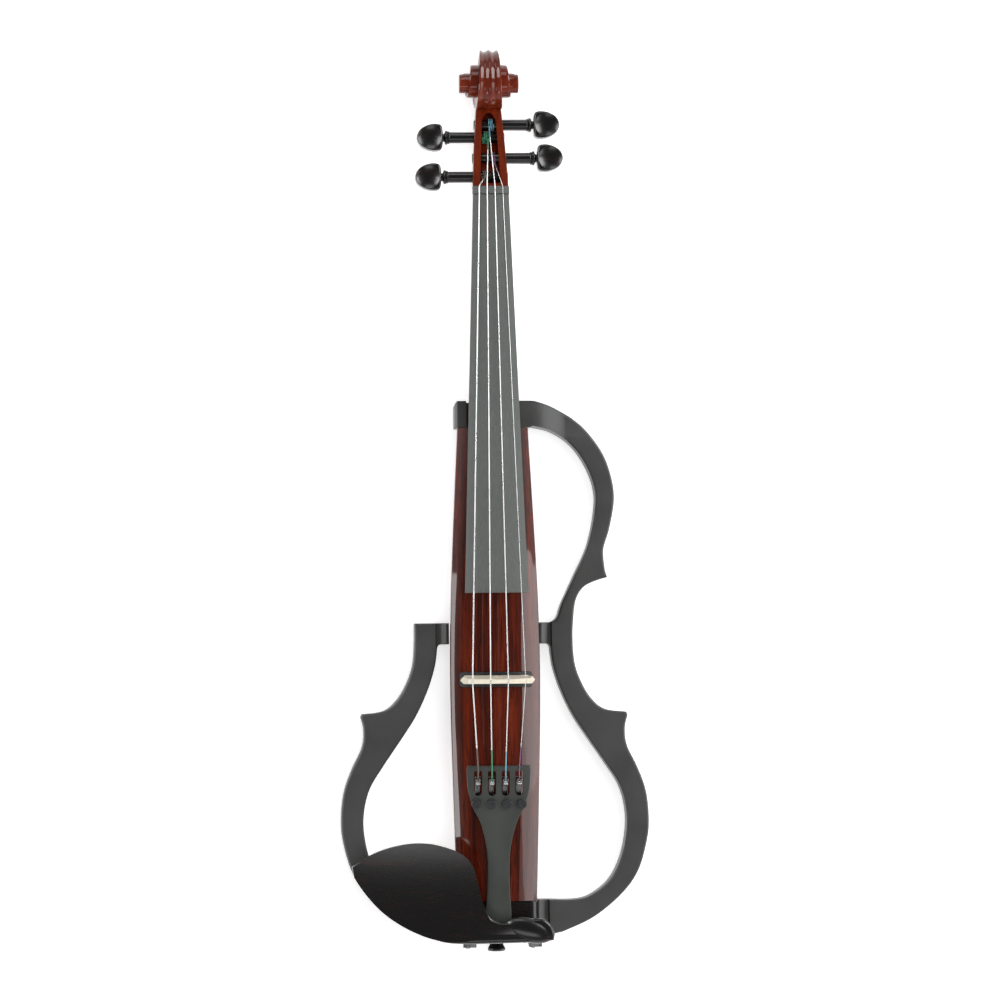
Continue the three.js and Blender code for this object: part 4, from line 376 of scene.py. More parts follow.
def pale_maple():
    maple = Finish("pale_maple", Specular_IOR_Level=0.4)
    growth = maple.noise(1, detail=4, roughness=0.5, distortion=0.7, stretch=(60, 900, 240))
    rays = maple.noise(1, detail=2, stretch=(2600, 2600, 500))
    tint = maple.ramp(growth, (0.3, linear(228, 218, 194)), (0.7, linear(243, 237, 220)))
    tint = maple.mix(maple.ramp(rays, (0.30, 0.55), (0.40, 0.0)), tint, linear(178, 146, 104))
    dullness = maple.ramp(growth, (0.3, 0.5), (0.7, 0.62))
    return maple.wear(tint, dullness, maple.bump(rays, 0.00002, 0.5))


def ground_cork():
    cork = Finish("ground_cork", Specular_IOR_Level=0.2)
    crumbs = cork.add("TexVoronoi")
    crumbs.inputs["Scale"].default_value = 900
    cork.link(cork.place, crumbs.inputs["Vector"])
    tint = cork.ramp(crumbs.outputs["Distance"], (0.05, linear(104, 68, 40)), (0.4, linear(196, 150, 104)))
    dullness = cork.ramp(crumbs.outputs["Distance"], (0.1, 0.95), (0.6, 0.8))
    return cork.wear(tint, dullness, cork.bump(crumbs.outputs["Distance"], 0.00015, 0.7))


def circuit_green():
    board = Finish("circuit_green", Coat_Weight=0.6, Coat_Roughness=0.15)
    weave = board.noise(1, detail=2, stretch=(1800, 1800, 1800))
    traces = board.add("TexBrick")
    traces.inputs["Scale"].default_value = 260
    traces.inputs["Mortar Size"].default_value = 0.03
    board.link(board.place, traces.inputs["Vector"])
    tint = board.mix(traces.outputs["Fac"], linear(22, 92, 58), linear(36, 120, 76))
    dullness = board.ramp(weave, (0.3, 0.4), (0.7, 0.55))
    return board.wear(tint, dullness, board.bump(traces.outputs["Fac"], 0.00005, 0.5))


def battery_sleeve():
    sleeve = Finish("battery_sleeve", Metallic=0.25, Coat_Weight=0.3)
    scuff = sleeve.noise(1, detail=4, stretch=(300, 900, 300))
    tint = sleeve.ramp(scuff, (0.35, linear(42, 44, 52)), (0.7, linear(72, 76, 86)))
    dullness = sleeve.ramp(scuff, (0.3, 0.25), (0.7, 0.45))
    return sleeve.wear(tint, dullness, sleeve.bump(scuff, 0.00002, 0.4))


steel, maple, cork = bright_steel(), pale_maple(), ground_cork()
circuit, battery_can = circuit_green(), battery_sleeve()
# The arms' steel is dimmed to 0.3 as painted shade, for the shade down in the tailpiece's slots.
slot_shaded_steel = bright_steel("slot_shaded_steel", 0.3)
print("made", [m.name for m in (steel, slot_shaded_steel, maple, cork, circuit, battery_can)])

# %% [markdown]
# Most pieces are made from a row of cross-sections, as a maker works from templates. A flat grid is the start:
# each of its rows becomes one section, and its two long edges are merged, which leaves a tube with open ends.
# Filling the ends closes it. This gives even, smooth surfaces that a polished finish needs.
# %% Helpers for shapes
body_of = {}
for name, row in frame["record"]["behaviour"]["bodies"].items():
    for node in row:
        body_of[node] = name


def mix(a, b, share):
    return a + (b - a) * share


def ease(share):
    t = min(max(share, 0), 1)
    return t * t * (3 - 2 * t)


def smooth_line(places, steps):
    """Points on a smooth curve through places, as many steps between each two."""
    line = []
    last = len(places) - 1
    for i in range(last):
        p0, p1, p2, p3 = (Vector(places[min(max(k, 0), last)]) for k in (i - 1, i, i + 1, i + 2))
        v0, v1 = (p2 - p0) / 2, (p3 - p1) / 2
        for k in range(steps):
            t = k / steps
            line.append((2 * p1 - 2 * p2 + v0 + v1) * t ** 3 + (3 * p2 - 3 * p1 - 2 * v0 - v1) * t * t + v0 * t + p1)
    return line + [Vector(places[-1])]


def skin(sections):
    """A closed surface through sections, each a list of places in millimetres with the same count."""
    rows, count = len(sections), len(sections[0])
    sheet = bmesh.new()
    bmesh.ops.create_grid(sheet, x_segments=count, y_segments=rows - 1, size=0.5)
    for vert in sheet.verts:
        column = round((vert.co.x + 0.5) * count) % count
        row = round((vert.co.y + 0.5) * (rows - 1))
        vert.co = Vector(sections[row][column]) * MM
    bmesh.ops.remove_doubles(sheet, verts=sheet.verts, dist=1e-7)
    bmesh.ops.holes_fill(sheet, edges=[e for e in sheet.edges if e.is_boundary], sides=0)
    bmesh.ops.recalc_face_normals(sheet, faces=sheet.faces)
    return sheet


def in_order(made):
    """Builds a mesh anew, sorted by place, because a spin hands its parts back in an order that changes each run."""
    places = sorted(vert.co[:] for vert in made.verts)
    rank = {place: i for i, place in enumerate(places)}
    rings = []
    for face in made.faces:
        ring = [rank[vert.co[:]] for vert in face.verts]
        start = ring.index(min(ring))
        rings.append(ring[start:] + ring[:start])
    made.free()
    ordered = bmesh.new()
    corners = [ordered.verts.new(place) for place in places]
    for ring in sorted(rings):
        ordered.faces.new([corners[i] for i in ring])
    return ordered


def turned(profile, steps=48, axis=(0, 1, 0), centre=(0, 0, 0)):
    """A lathe: a profile of (radius, height) turned about its own line of heights, which points along an axis."""
    lathe = bmesh.new()
    places = [lathe.verts.new(Vector((radius, 0, height)) * MM) for radius, height in profile]
    rail = [lathe.edges.new(pair) for pair in zip(places, places[1:])]
    bmesh.ops.spin(
        lathe, geom=places + rail, cent=(0, 0, 0), axis=(0, 0, 1), angle=2 * math.pi, steps=steps, use_merge=True)
    bmesh.ops.remove_doubles(lathe, verts=lathe.verts, dist=1e-7)
    bmesh.ops.recalc_face_normals(lathe, faces=lathe.faces)
    turn = Vector((0, 0, 1)).rotation_difference(Vector(axis)).to_matrix().to_4x4()
    bmesh.ops.transform(lathe, matrix=Matrix.Translation(Vector(centre) * MM) @ turn, verts=lathe.verts)
    return in_order(lathe)


def drill(radius, length, axis, start, steps=24):
    """A plain round cutter that starts at a place and points along an axis."""
    return turned([(0, 0), (radius, 0), (radius, length), (0, length)], steps, axis, start)


def brick(x0, x1, y0, y1, z0, z1):
    """A cutter or blank between two corners, in millimetres."""
    made = bmesh.new()
    bmesh.ops.create_cube(made, size=1)
    bmesh.ops.scale(made, vec=Vector((x1 - x0, y1 - y0, z1 - z0)) * MM, verts=made.verts)
    bmesh.ops.translate(made, vec=Vector(((x0 + x1) / 2, (y0 + y1) / 2, (z0 + z1) / 2)) * MM, verts=made.verts)
    return made


def plate(outline, z0, z1, edge=0.0, fineness=3):
    """A plate cut to an outline, with rounded edges: a flat filled curve, given depth and a round bevel."""
    line = bpy.data.curves.new("outline", "CURVE")
    line.dimensions = "2D"
    line.fill_mode = "BOTH"
    spline = line.splines.new("POLY")
    spline.points.add(len(outline) - 1)
    for knot, place in zip(spline.points, outline):
        knot.co = (place[0] * MM, place[1] * MM, 0, 1)
    spline.use_cyclic_u = True
    line.extrude = ((z1 - z0) / 2 - edge) * MM
    line.bevel_depth = edge * MM
    line.bevel_resolution = fineness
    line.offset = -edge * MM
    holder = bpy.data.objects.new("outline", line)
    mesh = holder.to_mesh()
    made = bmesh.new()
    made.from_mesh(mesh)
    holder.to_mesh_clear()
    bpy.data.objects.remove(holder)
    bpy.data.curves.remove(line)
    bmesh.ops.remove_doubles(made, verts=made.verts, dist=1e-6)
    bmesh.ops.recalc_face_normals(made, faces=made.faces)
    bmesh.ops.translate(made, vec=Vector((0, 0, (z0 + z1) / 2 * MM)), verts=made.verts)
    return made


def rounded_outline(cx, cy, width, height, radius, steps=8):
    """A rectangle with round corners, as places round its edge."""
    outline = []
    for k, (sx, sy) in enumerate(((1, -1), (1, 1), (-1, 1), (-1, -1))):
        for i in range(steps + 1):
            angle = math.pi / 2 * (k - 1 + i / steps)
            x = cx + sx * (width / 2 - radius) + radius * math.cos(angle)
            y = cy + sy * (height / 2 - radius) + radius * math.sin(angle)
            outline.append((x, y))
    return outline


def combined(base, tools, action="DIFFERENCE"):
    """Cuts tools from a shape, or joins them to it, through Boolean modifiers that are applied at once."""
    def held(made, name):
        mesh = bpy.data.meshes.new(name)
        made.to_mesh(mesh)
        made.free()
        holder = bpy.data.objects.new(name, mesh)
        scene.collection.objects.link(holder)
        return holder
    whole = held(base, "blank")
    helpers = [held(tool, "tool") for tool in tools]
    for helper in helpers:
        step = whole.modifiers.new("cut", "BOOLEAN")
        step.operation = action
        step.solver = "EXACT"
        step.object = helper
    result = bmesh.new()
    result.from_mesh(whole.evaluated_get(bpy.context.evaluated_depsgraph_get()).to_mesh())
    for holder in [whole] + helpers:
        mesh = holder.data
        bpy.data.objects.remove(holder)
        bpy.data.meshes.remove(mesh)
    bmesh.ops.remove_doubles(result, verts=result.verts, dist=2e-6)
    return result


def piece(name, made, finish, body=None, node=None, edge=0.0, smooth=35):
    """Turns a bmesh into a finished, named piece that rides on a body and may stand for a solid.

    Edges that turn by more than the angle given as smooth stay crisp, and edge rounds those by so many millimetres.
    """
    mesh = bpy.data.meshes.new(name)
    made.to_mesh(mesh)
    made.free()
    mesh.materials.append(finish)
    mesh.shade_smooth()
    mesh.set_sharp_from_angle(angle=math.radians(smooth))
    thing = bpy.data.objects.new(name, mesh)
    scene.collection.objects.link(thing)
    if edge:
        rounding = thing.modifiers.new("rounded edges", "BEVEL")
        rounding.width = edge * MM
        rounding.segments = 2
        rounding.limit_method = "ANGLE"
        rounding.angle_limit = math.radians(smooth)
    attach(thing, body or body_of[node])
    if node:
        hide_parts(node)


def softened_copy(node, whole=True):
    """A copy of a solid with its loose triangles merged and, if asked, its flat faces made whole."""
    copy = bmesh.new()
    copy.from_mesh(frame["nodes"][node].data)
    bmesh.ops.remove_doubles(copy, verts=copy.verts, dist=2e-6)
    if whole:
        bmesh.ops.dissolve_limit(copy, angle_limit=math.radians(1.5), verts=copy.verts, edges=copy.edges)
    return copy


def softened(node, finish, edge=0.25, smooth=35):
    """A solid's copy whose hard edges are rounded a little, as no real part has a knife edge."""
    copy = softened_copy(node, whole=edge > 0)
    piece(node + "_softened", copy, finish, node=node, edge=edge, smooth=smooth)


def face_count(name):
    return len(bpy.data.meshes[name].polygons)


def ball(radius, scale=(1, 1, 1), rings=(96, 64)):
    """A ball about the origin, its radius in millimetres, that may be stretched."""
    made = bmesh.new()
    bmesh.ops.create_uvsphere(made, u_segments=rings[0], v_segments=rings[1], radius=radius * MM)
    bmesh.ops.scale(made, vec=scale, verts=made.verts)
    return in_order(made)


def moved(made, x, y, z):
    bmesh.ops.translate(made, vec=Vector((x, y, z)) * MM, verts=made.verts)
    return made


def stood_up(made, y):
    """Turns a plate, drawn as a section across the violin, to stand across it, with its front at y."""
    turn = Matrix.Translation((0, y * MM, 0)) @ Matrix.Rotation(math.radians(90), 4, "X")
    bmesh.ops.transform(made, matrix=turn, verts=made.verts)
    return made


print("bodies:", sorted(set(body_of.values())))

# %% [markdown]
# The body core is the slim block of wood that everything else is fixed to. Its front is arched and polished, so
# it gets many sections: a coarse surface would break the long reflections into steps. The outline comes from a
# smooth curve through a few half widths, and the arch falls away a little towards each end.
# %% The body's outline and arch
STRING = 328.0
GAP = 0.3
BODY_TOP, BODY_TAIL = 0.5183 * STRING, -0.45427 * STRING
BODY_HALF, CROWN, EDGE = 30.4, 44.0, 34.0
CROWN_FALL, SIDE_LEAN, LIP, BACK_ROUND = 3, 2.5, 0.8, 3
TAIL_FACE = BODY_TAIL - GAP - 0.07317 * STRING
BEND = (0.4, 0.8, 1.2)
plan_shares = (
    (0, 0.79), (0.125, 0.86), (0.26, 0.93), (0.37, 0.975), (0.49, 1), (0.62, 0.995), (0.8, 0.95), (1, 0.893))
body_plan = smooth_line([(mix(BODY_TOP, BODY_TAIL, along), wide * BODY_HALF) for along, wide in plan_shares], 48)


def body_half(y):
    """Half width of the body core at a distance along it."""
    for above, below in zip(body_plan, body_plan[1:]):
        if below.x <= y <= above.x:
            return mix(above.y, below.y, (above.x - y) / (above.x - below.x))
    return body_plan[0].y if y > 0 else body_plan[-1].y


def body_front(x, y):
    """Height of the arched front."""
    rise = CROWN - EDGE
    radius = (BODY_HALF ** 2 + rise ** 2) / (2 * rise)
    across = min(abs(x), body_half(y)) * BODY_HALF / body_half(y)
    return CROWN - CROWN_FALL * (y / BODY_TOP) ** 2 - (radius - math.sqrt(radius ** 2 - across ** 2))


def core_section(y):
    """One section of the core: arched front, softly rounded edges, sides that lean in, flat back."""
    half = body_half(y)
    inner, foot = half - LIP, half - SIDE_LEAN
    edge = body_front(half, y) - 1.2
    front = [(x, y, body_front(x, y)) for x in (mix(inner, LIP - half, i / 40) for i in range(41))]
    bend = [(inner + LIP * math.sin(a), mix(edge, body_front(inner, y), math.cos(a) ** 1.4)) for a in BEND]
    bend += [(half, edge)] + [(mix(half, foot, t), mix(edge, BACK_ROUND, t)) for t in (0.33, 0.66, 1)]
    bend += [(foot - BACK_ROUND * (1 - math.cos(a)), BACK_ROUND - BACK_ROUND * math.sin(a)) for a in BEND]
    bend.append((foot - BACK_ROUND, 0))
    return front + [(-x, y, z) for x, z in bend] + [(x, y, z) for x, z in reversed(bend)]


print("core is", round(2 * body_half(0), 1), "mm wide at the bridge")
# %% The body core and its openings
battery_y, controls_y = 0.33529 * BODY_TOP, BODY_TAIL + 65
SOCKET_Z, SOCKET_DEPTH = 17, 14.3
openings = [
    brick(-11.3, 11.3, BODY_TOP - 20, BODY_TOP + 2, 12, 48),
    brick(-14.25, 14.25, battery_y - 25.25, battery_y + 25.25, -2, 22),
    brick(-17.75, 17.75, battery_y - 49.05, battery_y + 29.05, -3, 2.7),
    brick(-20, 20, controls_y - 33, controls_y + 33, -2, 26),
    plate(rounded_outline(0, controls_y, 48.6, 74.6, 4), -3, 3.1),
    plate(rounded_outline(0, 0, 49.4, 10.6, 2.5), 35, 48),
]
for away, radius in ((42.5, 5.3), (55.5, 3.9)):
    y = controls_y - away
    openings.append(drill(radius, 40, (1, 0, 0), (body_half(y) - SOCKET_DEPTH, y, SOCKET_Z), 32))
core = skin([core_section(mix(BODY_TOP, BODY_TAIL, i / 110)) for i in range(111)])
core = combined(core, openings)
piece("body_core_lacquered", core, red_wood, node="body_core", smooth=30)
print("core faces:", face_count("body_core_lacquered"))

# %% [markdown]
# Neck, pegbox and scroll are carved from one piece of wood. The scroll takes the most skill: a spiral whose
# radius shrinks by the same ratio each turn, while it grows wider towards the eye. A double flute is cut into
# its outer face, and the cheeks dip between one turn and the next.
# %% Lines of the neck
NUT, NUT_LENGTH = STRING, 5.3
NUT_BACK = NUT + NUT_LENGTH
BOARD_END = STRING * (1 - 0.82317)
BOARD_ROUND, BOARD_AT_NUT, BOARD_EDGE = 42, 42, 5
STRINGS_AT_NUT, STRINGS_AT_BRIDGE, STRINGS_OVER_BOARD = 42.6, CROWN + 32, 4.47
BOX_LENGTH, BOX_FLOOR = 58, 4.5
strings_there = mix(STRINGS_AT_BRIDGE, STRINGS_AT_NUT, BOARD_END / STRING)
TILT = math.atan((strings_there - STRINGS_OVER_BOARD - BOARD_AT_NUT) / (STRING - BOARD_END))
YOKE, YOKE_TOP = BODY_TOP + GAP, BODY_TOP + GAP + 0.05488 * STRING
HEEL = 27


def fall(x):
    """How far the board's arch falls at a distance from its middle."""
    return BOARD_ROUND - math.sqrt(BOARD_ROUND ** 2 - x ** 2)


def board_crown(y):
    return BOARD_AT_NUT + (NUT - y) * math.tan(TILT)


def board_half(y):
    return mix(24.2, 42.4, (NUT - y) / (NUT - BOARD_END)) / 2


def board_under(y):
    return board_crown(y) - fall(board_half(y)) - BOARD_EDGE


def box_front(y):
    return mix(37.5, 22, (y - NUT_BACK) / BOX_LENGTH)


def box_back(y):
    return mix(17, 5, ease((y - NUT_BACK) / BOX_LENGTH))


def box_half(y):
    return mix(12.1, 8.3, max((y - NUT_BACK) / BOX_LENGTH, 0) ** 1.3)


print("the board tilts by", round(math.degrees(TILT), 2), "degrees")
# %% Neck shaft, heel and pegbox
def shaft_section(y):
    """Flat under the board, round behind, deepening into the heel."""
    top = board_under(min(y, NUT)) - GAP
    half = board_half(min(y, NUT)) - 0.25
    deepening = ease(max((YOKE_TOP + HEEL - y) / HEEL, 0) ** 1.25)
    depth = mix(mix(12.4, 14, (NUT - y) / (NUT - YOKE_TOP)), top - 12, deepening)
    square = mix(1, 0.55, deepening)
    section = []
    for i in range(41):
        angle = math.pi * i / 40
        side = math.copysign(abs(math.cos(angle)) ** square, math.cos(angle))
        section.append((side * half, y, top - depth * math.sin(angle) ** square if i % 40 else top))
    return section


def pegbox_section(y):
    """Cheeks with softened lips in front and a shallow rounded back."""
    half, front, back = box_half(y), box_front(y), box_back(y)
    base = [(half / 3, back), (half - 3.2, back + 0.45), (half - 1.4, back + 1.2), (half - 0.4, back + 2.6)]
    lip = [(half - 0.12, front - 0.45), (half - 0.35, front - 0.12), (half - 0.8, front)]
    right = base + [(half, back + 4.6), (half, front - 0.9)] + lip
    return [(x, y, z) for x, z in right] + [(-x, y, z) for x, z in reversed(right)]


def hollow_section(share):
    """The slot that the strings run into, narrower to the throat and round at its end."""
    y = NUT_BACK + 2.25 + share * 49.5
    half = mix(6.8, 4.4, share) * math.sqrt(max(1.04 - max((share - 0.84) / 0.16, 0) ** 2, 0.01))
    bottom = box_back(y) + BOX_FLOOR
    wall = [(half, box_front(y) + 2), (half, bottom + 2.2), (half * 0.94, bottom + 0.7), (half * 0.8, bottom)]
    return [(wall[0][0], y, wall[0][1])] + [(-x, y, z) for x, z in wall] + [(x, y, z) for x, z in wall[:0:-1]]


stations = [NUT_BACK + GAP] + [mix(NUT, YOKE_TOP + HEEL, i / 16) for i in range(17)]
stations += [mix(YOKE_TOP + HEEL, YOKE_TOP, i / 20) for i in range(1, 21)] + [YOKE]
shaft = skin([shaft_section(y) for y in stations])
pegbox = skin([pegbox_section(NUT_BACK + GAP + (i / 24) * 63.8) for i in range(25)])
hollow = skin([hollow_section(1 - (1 - i / 40) ** 1.6) for i in range(41)])
tenon = brick(-11, 11, BODY_TOP - 19.7, YOKE + 2, 12.3, board_under(BODY_TOP - 20) - 2.3)
print("shaft, pegbox and tenon ready")
# %% The carved scroll
SCROLL_Y, SCROLL_Z, TURNS = NUT_BACK + BOX_LENGTH + 13.3, 25.0, 2.35
SCROLL_RADIUS, CLOSING, EYE_RADIUS = 23.4, 0.555, 6.5
CHEEK_DIP, LIP_DROP = 0.9, 0.45


def scroll_radius(turn):
    return SCROLL_RADIUS * CLOSING ** max(turn, 0)


def scroll_half(turn):
    return mix(5.8, 18.0, min(max(turn, 0) / (TURNS - 0.3), 1) ** 0.92)


def cheek_in(t):
    """How far the cheek lies inside the face's edge, at a share of the way down to the next turn."""
    if t < 0.55:
        return CHEEK_DIP * math.sin(math.pi * 0.5 * t / 0.55)
    return mix(CHEEK_DIP, 0.2, ease((t - 0.55) / 0.45))


def spiral_section(turn):
    """Outer face with its double flute between soft lips, then the cheeks down to the next turn."""
    half, outer = scroll_half(turn), scroll_radius(turn)
    inner = max(scroll_radius(turn + 1) - 1, EYE_RADIUS / 3)
    flute = 1.3 * (1 - ease((turn - 0.45) / 0.3))
    section = []
    for i in range(33):
        share = mix(-1, 1, i / 32)
        lip = LIP_DROP * max((abs(share) - 0.9) / 0.1, 0) ** 2
        section.append((share * half, outer - flute * math.sin(math.pi * share) ** 2 - lip))
    steps = (0.1, 0.25, 0.4, 0.55, 0.75, 0.9, 1)
    cheek = [(half - cheek_in(t), mix(outer - LIP_DROP, inner, t)) for t in steps]
    section += cheek + [(-x, r) for x, r in reversed(cheek)]
    angle = turn * 2 * math.pi
    return [(x, SCROLL_Y + r * math.cos(angle), SCROLL_Z + r * math.sin(angle)) for x, r in section]


def stretch(start, end):
    """One closed length of the spiral. A whole turn at once would cross itself, so the scroll is joined from four."""
    steps = math.ceil((end - start) * 56)
    return skin([spiral_section(mix(start, end, i / steps)) for i in range(steps + 1)])


rim = [(0, 20.2), (5.6, 20.2), (6.1, 20.05), (6.4, 19.75), (EYE_RADIUS, 19.4)]
eye_profile = [(radius, -height) for radius, height in rim] + rim[::-1]
eye = turned(eye_profile, 56, (1, 0, 0), (0, SCROLL_Y, SCROLL_Z))
carving = combined(stretch(-0.27, 0.6), [stretch(0.55, 1.4), stretch(1.35, 1.9), stretch(1.85, TURNS), eye], "UNION")
print("scroll faces:", len(carving.faces))
# %% Neck, pegbox and scroll joined
# Each peg: its string, its side, its share of the way along the pegbox, and where its string is wound.
peg_rows = (("g", -1, 0.126, -1.5), ("d", -1, 0.605, -0.5), ("a", 1, 0.757, 0.0), ("e", 1, 0.352, 1.5))
peg_y = {name: NUT_BACK + share * BOX_LENGTH for name, side, share, x in peg_rows}
peg_z = {name: (box_front(y) + box_back(y) + BOX_FLOOR) / 2 - GAP for name, y in peg_y.items()}
nut_bed = brick(-24.2, 24.2, NUT - GAP / 2, NUT_BACK + GAP, board_under(NUT) - GAP, 46)
holes = [drill(4.15, 28.2, (1, 0, 0), (-14.1, peg_y[name], peg_z[name]), 40) for name in peg_y]
joined = combined(shaft, [pegbox, carving, tenon], "UNION")
neck = combined(joined, [hollow, nut_bed] + holes)
piece("neck_and_scroll_carved", neck, neck_wood, node="neck_and_scroll", smooth=32)
print("neck faces:", face_count("neck_and_scroll_carved"))

# %% [markdown]
# The wing frames are flat plates cut to a flowing outline, with every edge rounded over. A filled 2D curve is the
# natural start, because its own depth and round bevel give exactly that. The yoke that clamps the heel is
# thicker, so a second plate is cut to a ramp and joined on. Each link is hollowed where a frame meets the core, and
# the slope of the hollow catches the light of a soft box.
# %% Outlines of the frames
FRAME_BACK, FRAME_FRONT, FRAME_ROUND, BOUT_HALF = 6.0, 24.0, 1.6, 104.2
YOKE_HALF, YOKE_HEIGHT, YOKE_FACET = BODY_HALF - 5.2, 33, 2.8
PAD_TOP = 0.11707 * STRING
PAD_LOW, PAD_IN, PAD_ROOT = PAD_TOP - 14.4, body_half(PAD_TOP) + GAP, mix(BODY_HALF, BOUT_HALF, 0.11)
LINK_IN = BODY_HALF - 3.4 + GAP
# Each place is a share of the way from the core's side to the widest bout, and a share of the string length.
arch_outside = (
    (-0.002, 0.572), (0.153, 0.56), (0.343, 0.536), (0.485, 0.506), (0.619, 0.461),
    (0.692, 0.411), (0.709, 0.366), (0.664, 0.31), (0.607, 0.266), (0.619, 0.224))
waist_outside = (
    (0.509, 0.2), (0.41, 0.187), (0.345, 0.161), (0.321, 0.119), (0.315, 0.08),
    (0.332, 0.032), (0.393, -0.008), (0.486, -0.042), (0.607, -0.063), (0.802, -0.069))
bout_outside = (
    (0.788, -0.102), (0.805, -0.138), (0.901, -0.184), (0.975, -0.232), (1, -0.288),
    (0.98, -0.335), (0.894, -0.398), (0.735, -0.446), (0.478, -0.492), (0.195, -0.521))
arch_inside = (
    (-0.042, 0.522), (0.132, 0.512), (0.308, 0.486), (0.441, 0.446), (0.527, 0.396),
    (0.531, 0.349), (0.463, 0.276), (0.325, 0.208), (0.218, 0.157), (0.17, 0.127))
bout_inside = (
    (0.11, 0.06), (0.133, 0.026), (0.197, -0.02), (0.308, -0.074), (0.452, -0.124), (0.607, -0.175), (0.735, -0.222),
    (0.791, -0.27), (0.79, -0.318), (0.735, -0.372), (0.626, -0.417), (0.452, -0.447), (0.294, -0.455))


def on_plan(row):
    return [(mix(BODY_HALF, BOUT_HALF, across), along * STRING) for across, along in row]


def run(line, places, steps=14):
    """Adds a smooth run through places to an outline."""
    line += [tuple(p) for p in smooth_line([line[-1]] + places, steps)[1:]]


def bout(line):
    """Lower bout: corner, round to the tail, and back inside to the waist pad."""
    line.append(on_plan([(0.815, -0.075)])[0])
    run(line, on_plan(bout_outside))
    line += [(mix(BODY_HALF, BOUT_HALF, 0.04), TAIL_FACE), (LINK_IN, TAIL_FACE)]
    line += [(LINK_IN, BODY_TAIL), (mix(BODY_HALF, BOUT_HALF, 0.068), BODY_TAIL)]
    run(line, on_plan(reversed(bout_inside)))
    start, corner, end = line[-1], (PAD_ROOT, PAD_LOW), (PAD_ROOT - 3, PAD_LOW)
    for t in (i / 8 for i in range(1, 9)):
        bend = (a * (1 - t) ** 2 + 2 * b * t * (1 - t) + c * t * t for a, b, c in zip(start, corner, end))
        line.append(tuple(bend))
    line += [(PAD_IN, PAD_LOW), (PAD_IN, PAD_TOP)]


right_line = [(-YOKE_HALF, YOKE), (-YOKE_HALF, YOKE_TOP - YOKE_FACET)]
right_line += [(-YOKE_HALF + YOKE_FACET / 2, YOKE_TOP), (YOKE_HALF, YOKE_TOP)]
run(right_line, on_plan(arch_outside))
right_line.append(on_plan([(0.64, 0.209)])[0])
run(right_line, on_plan(waist_outside))
bout(right_line)
right_line.append((PAD_ROOT, PAD_TOP))
run(right_line, on_plan(reversed(arch_inside)))
right_line.append((YOKE_HALF, YOKE))
waist = [place for place in on_plan(waist_outside) if place[1] < PAD_TOP]
left_line = [(PAD_IN, PAD_TOP), (waist[0][0], PAD_TOP)]
run(left_line, waist)
bout(left_line)
print("outline places:", len(right_line), len(left_line))
# %% The two frames
def hollows():
    """Cutters that slope down from the core and rise again at the frame, for the waist pad and the tail link."""
    slope = [(0, 24.4), (0.6, 23.9), (5.6, 21.0), (6.3, 20.9), (6.9, 21.3), (7.8, 24.6), (7.8, 36), (0, 36)]
    cutters = []
    for x, low_y, high_y in ((PAD_IN + 1.6, PAD_LOW, PAD_TOP), (LINK_IN + 1.2, TAIL_FACE, BODY_TAIL)):
        cutter = plate([(x + across, z) for across, z in slope], 0, high_y - low_y + 4)
        cutters.append(stood_up(cutter, high_y + 2))
    return cutters


def four_point_bend(a, b, c, d, t):
    """A place on the smooth bend that leaves a towards b and comes into d from c."""
    return a * (1 - t) ** 3 + 3 * b * t * (1 - t) ** 2 + 3 * c * t * t * (1 - t) + d * t ** 3


RAMP, RAMP_END = 30, FRAME_FRONT - 0.8
RAMP_LOW = FRAME_BACK + FRAME_ROUND
ramp = [(-YOKE_HALF, RAMP_LOW), (YOKE_HALF + RAMP, RAMP_LOW), (YOKE_HALF + RAMP, RAMP_END)]
for t in (i / 16 for i in range(1, 17)):
    x = YOKE_HALF + four_point_bend(RAMP, 17, 15, 0, t)
    ramp.append((x, four_point_bend(RAMP_END, FRAME_FRONT - 0.4, YOKE_HEIGHT, YOKE_HEIGHT, t)))
ramp += [(-YOKE_HALF + YOKE_FACET / 2, YOKE_HEIGHT), (-YOKE_HALF, YOKE_HEIGHT - YOKE_FACET)]
yoke = stood_up(plate(ramp, 0, 0.11 * STRING, 0.4), YOKE_TOP + 2)
yoke = combined(yoke, [plate(right_line, FRAME_BACK, 36, 0.4)], "INTERSECT")
channel_half = board_half(YOKE) + GAP
channel = brick(-channel_half, channel_half, YOKE - 2, YOKE_TOP + 2, 11.7, 36)
right = combined(plate(right_line, FRAME_BACK, FRAME_FRONT, FRAME_ROUND, 4), [yoke], "UNION")
right = combined(right, [channel] + hollows())
piece("frame_right_rounded", right, satin_black, node="frame_right", smooth=28)
left = combined(plate(left_line, FRAME_BACK, FRAME_FRONT, FRAME_ROUND, 4), hollows())
bmesh.ops.scale(left, vec=(-1, 1, 1), verts=left.verts)
bmesh.ops.reverse_faces(left, faces=left.faces)
piece("frame_left_rounded", left, satin_black, node="frame_left", smooth=28)
print("frame faces:", face_count("frame_right_rounded"), face_count("frame_left_rounded"))

# %% [markdown]
# The fingerboard is a long arched wedge, and the nut repeats its arch just above it. The board is made from sections
# again, and the nut is a merged copy of its solid.
# Their long edges are broken with a small bevel, because a maker never leaves a playing edge sharp.
# %% Fingerboard and nut
def board_section(y):
    half = board_half(y)
    scoop = 5 * 0.42 * ease((YOKE - y) / (YOKE - BOARD_END - 54)) + 0.5 * ease((NUT - y) / 90) * (y > YOKE)
    top = [(x, y, board_crown(y) - fall(x)) for x in (mix(half, -half, i / 32) for i in range(33))]
    shares = (mix(-1, 1, i / 16) for i in range(17))
    return top + [(share * half, y, board_under(y) + scoop * (1 - share * share)) for share in shares]


board = skin([board_section(mix(NUT - GAP, BOARD_END, i / 40)) for i in range(41)])
piece("fingerboard_arched", board, dull_board, node="fingerboard", edge=0.45, smooth=40)
piece("nut_notched", softened_copy("nut"), dull_board, node="nut", edge=0.2)
print("board half width at its end:", round(board_half(BOARD_END), 2))

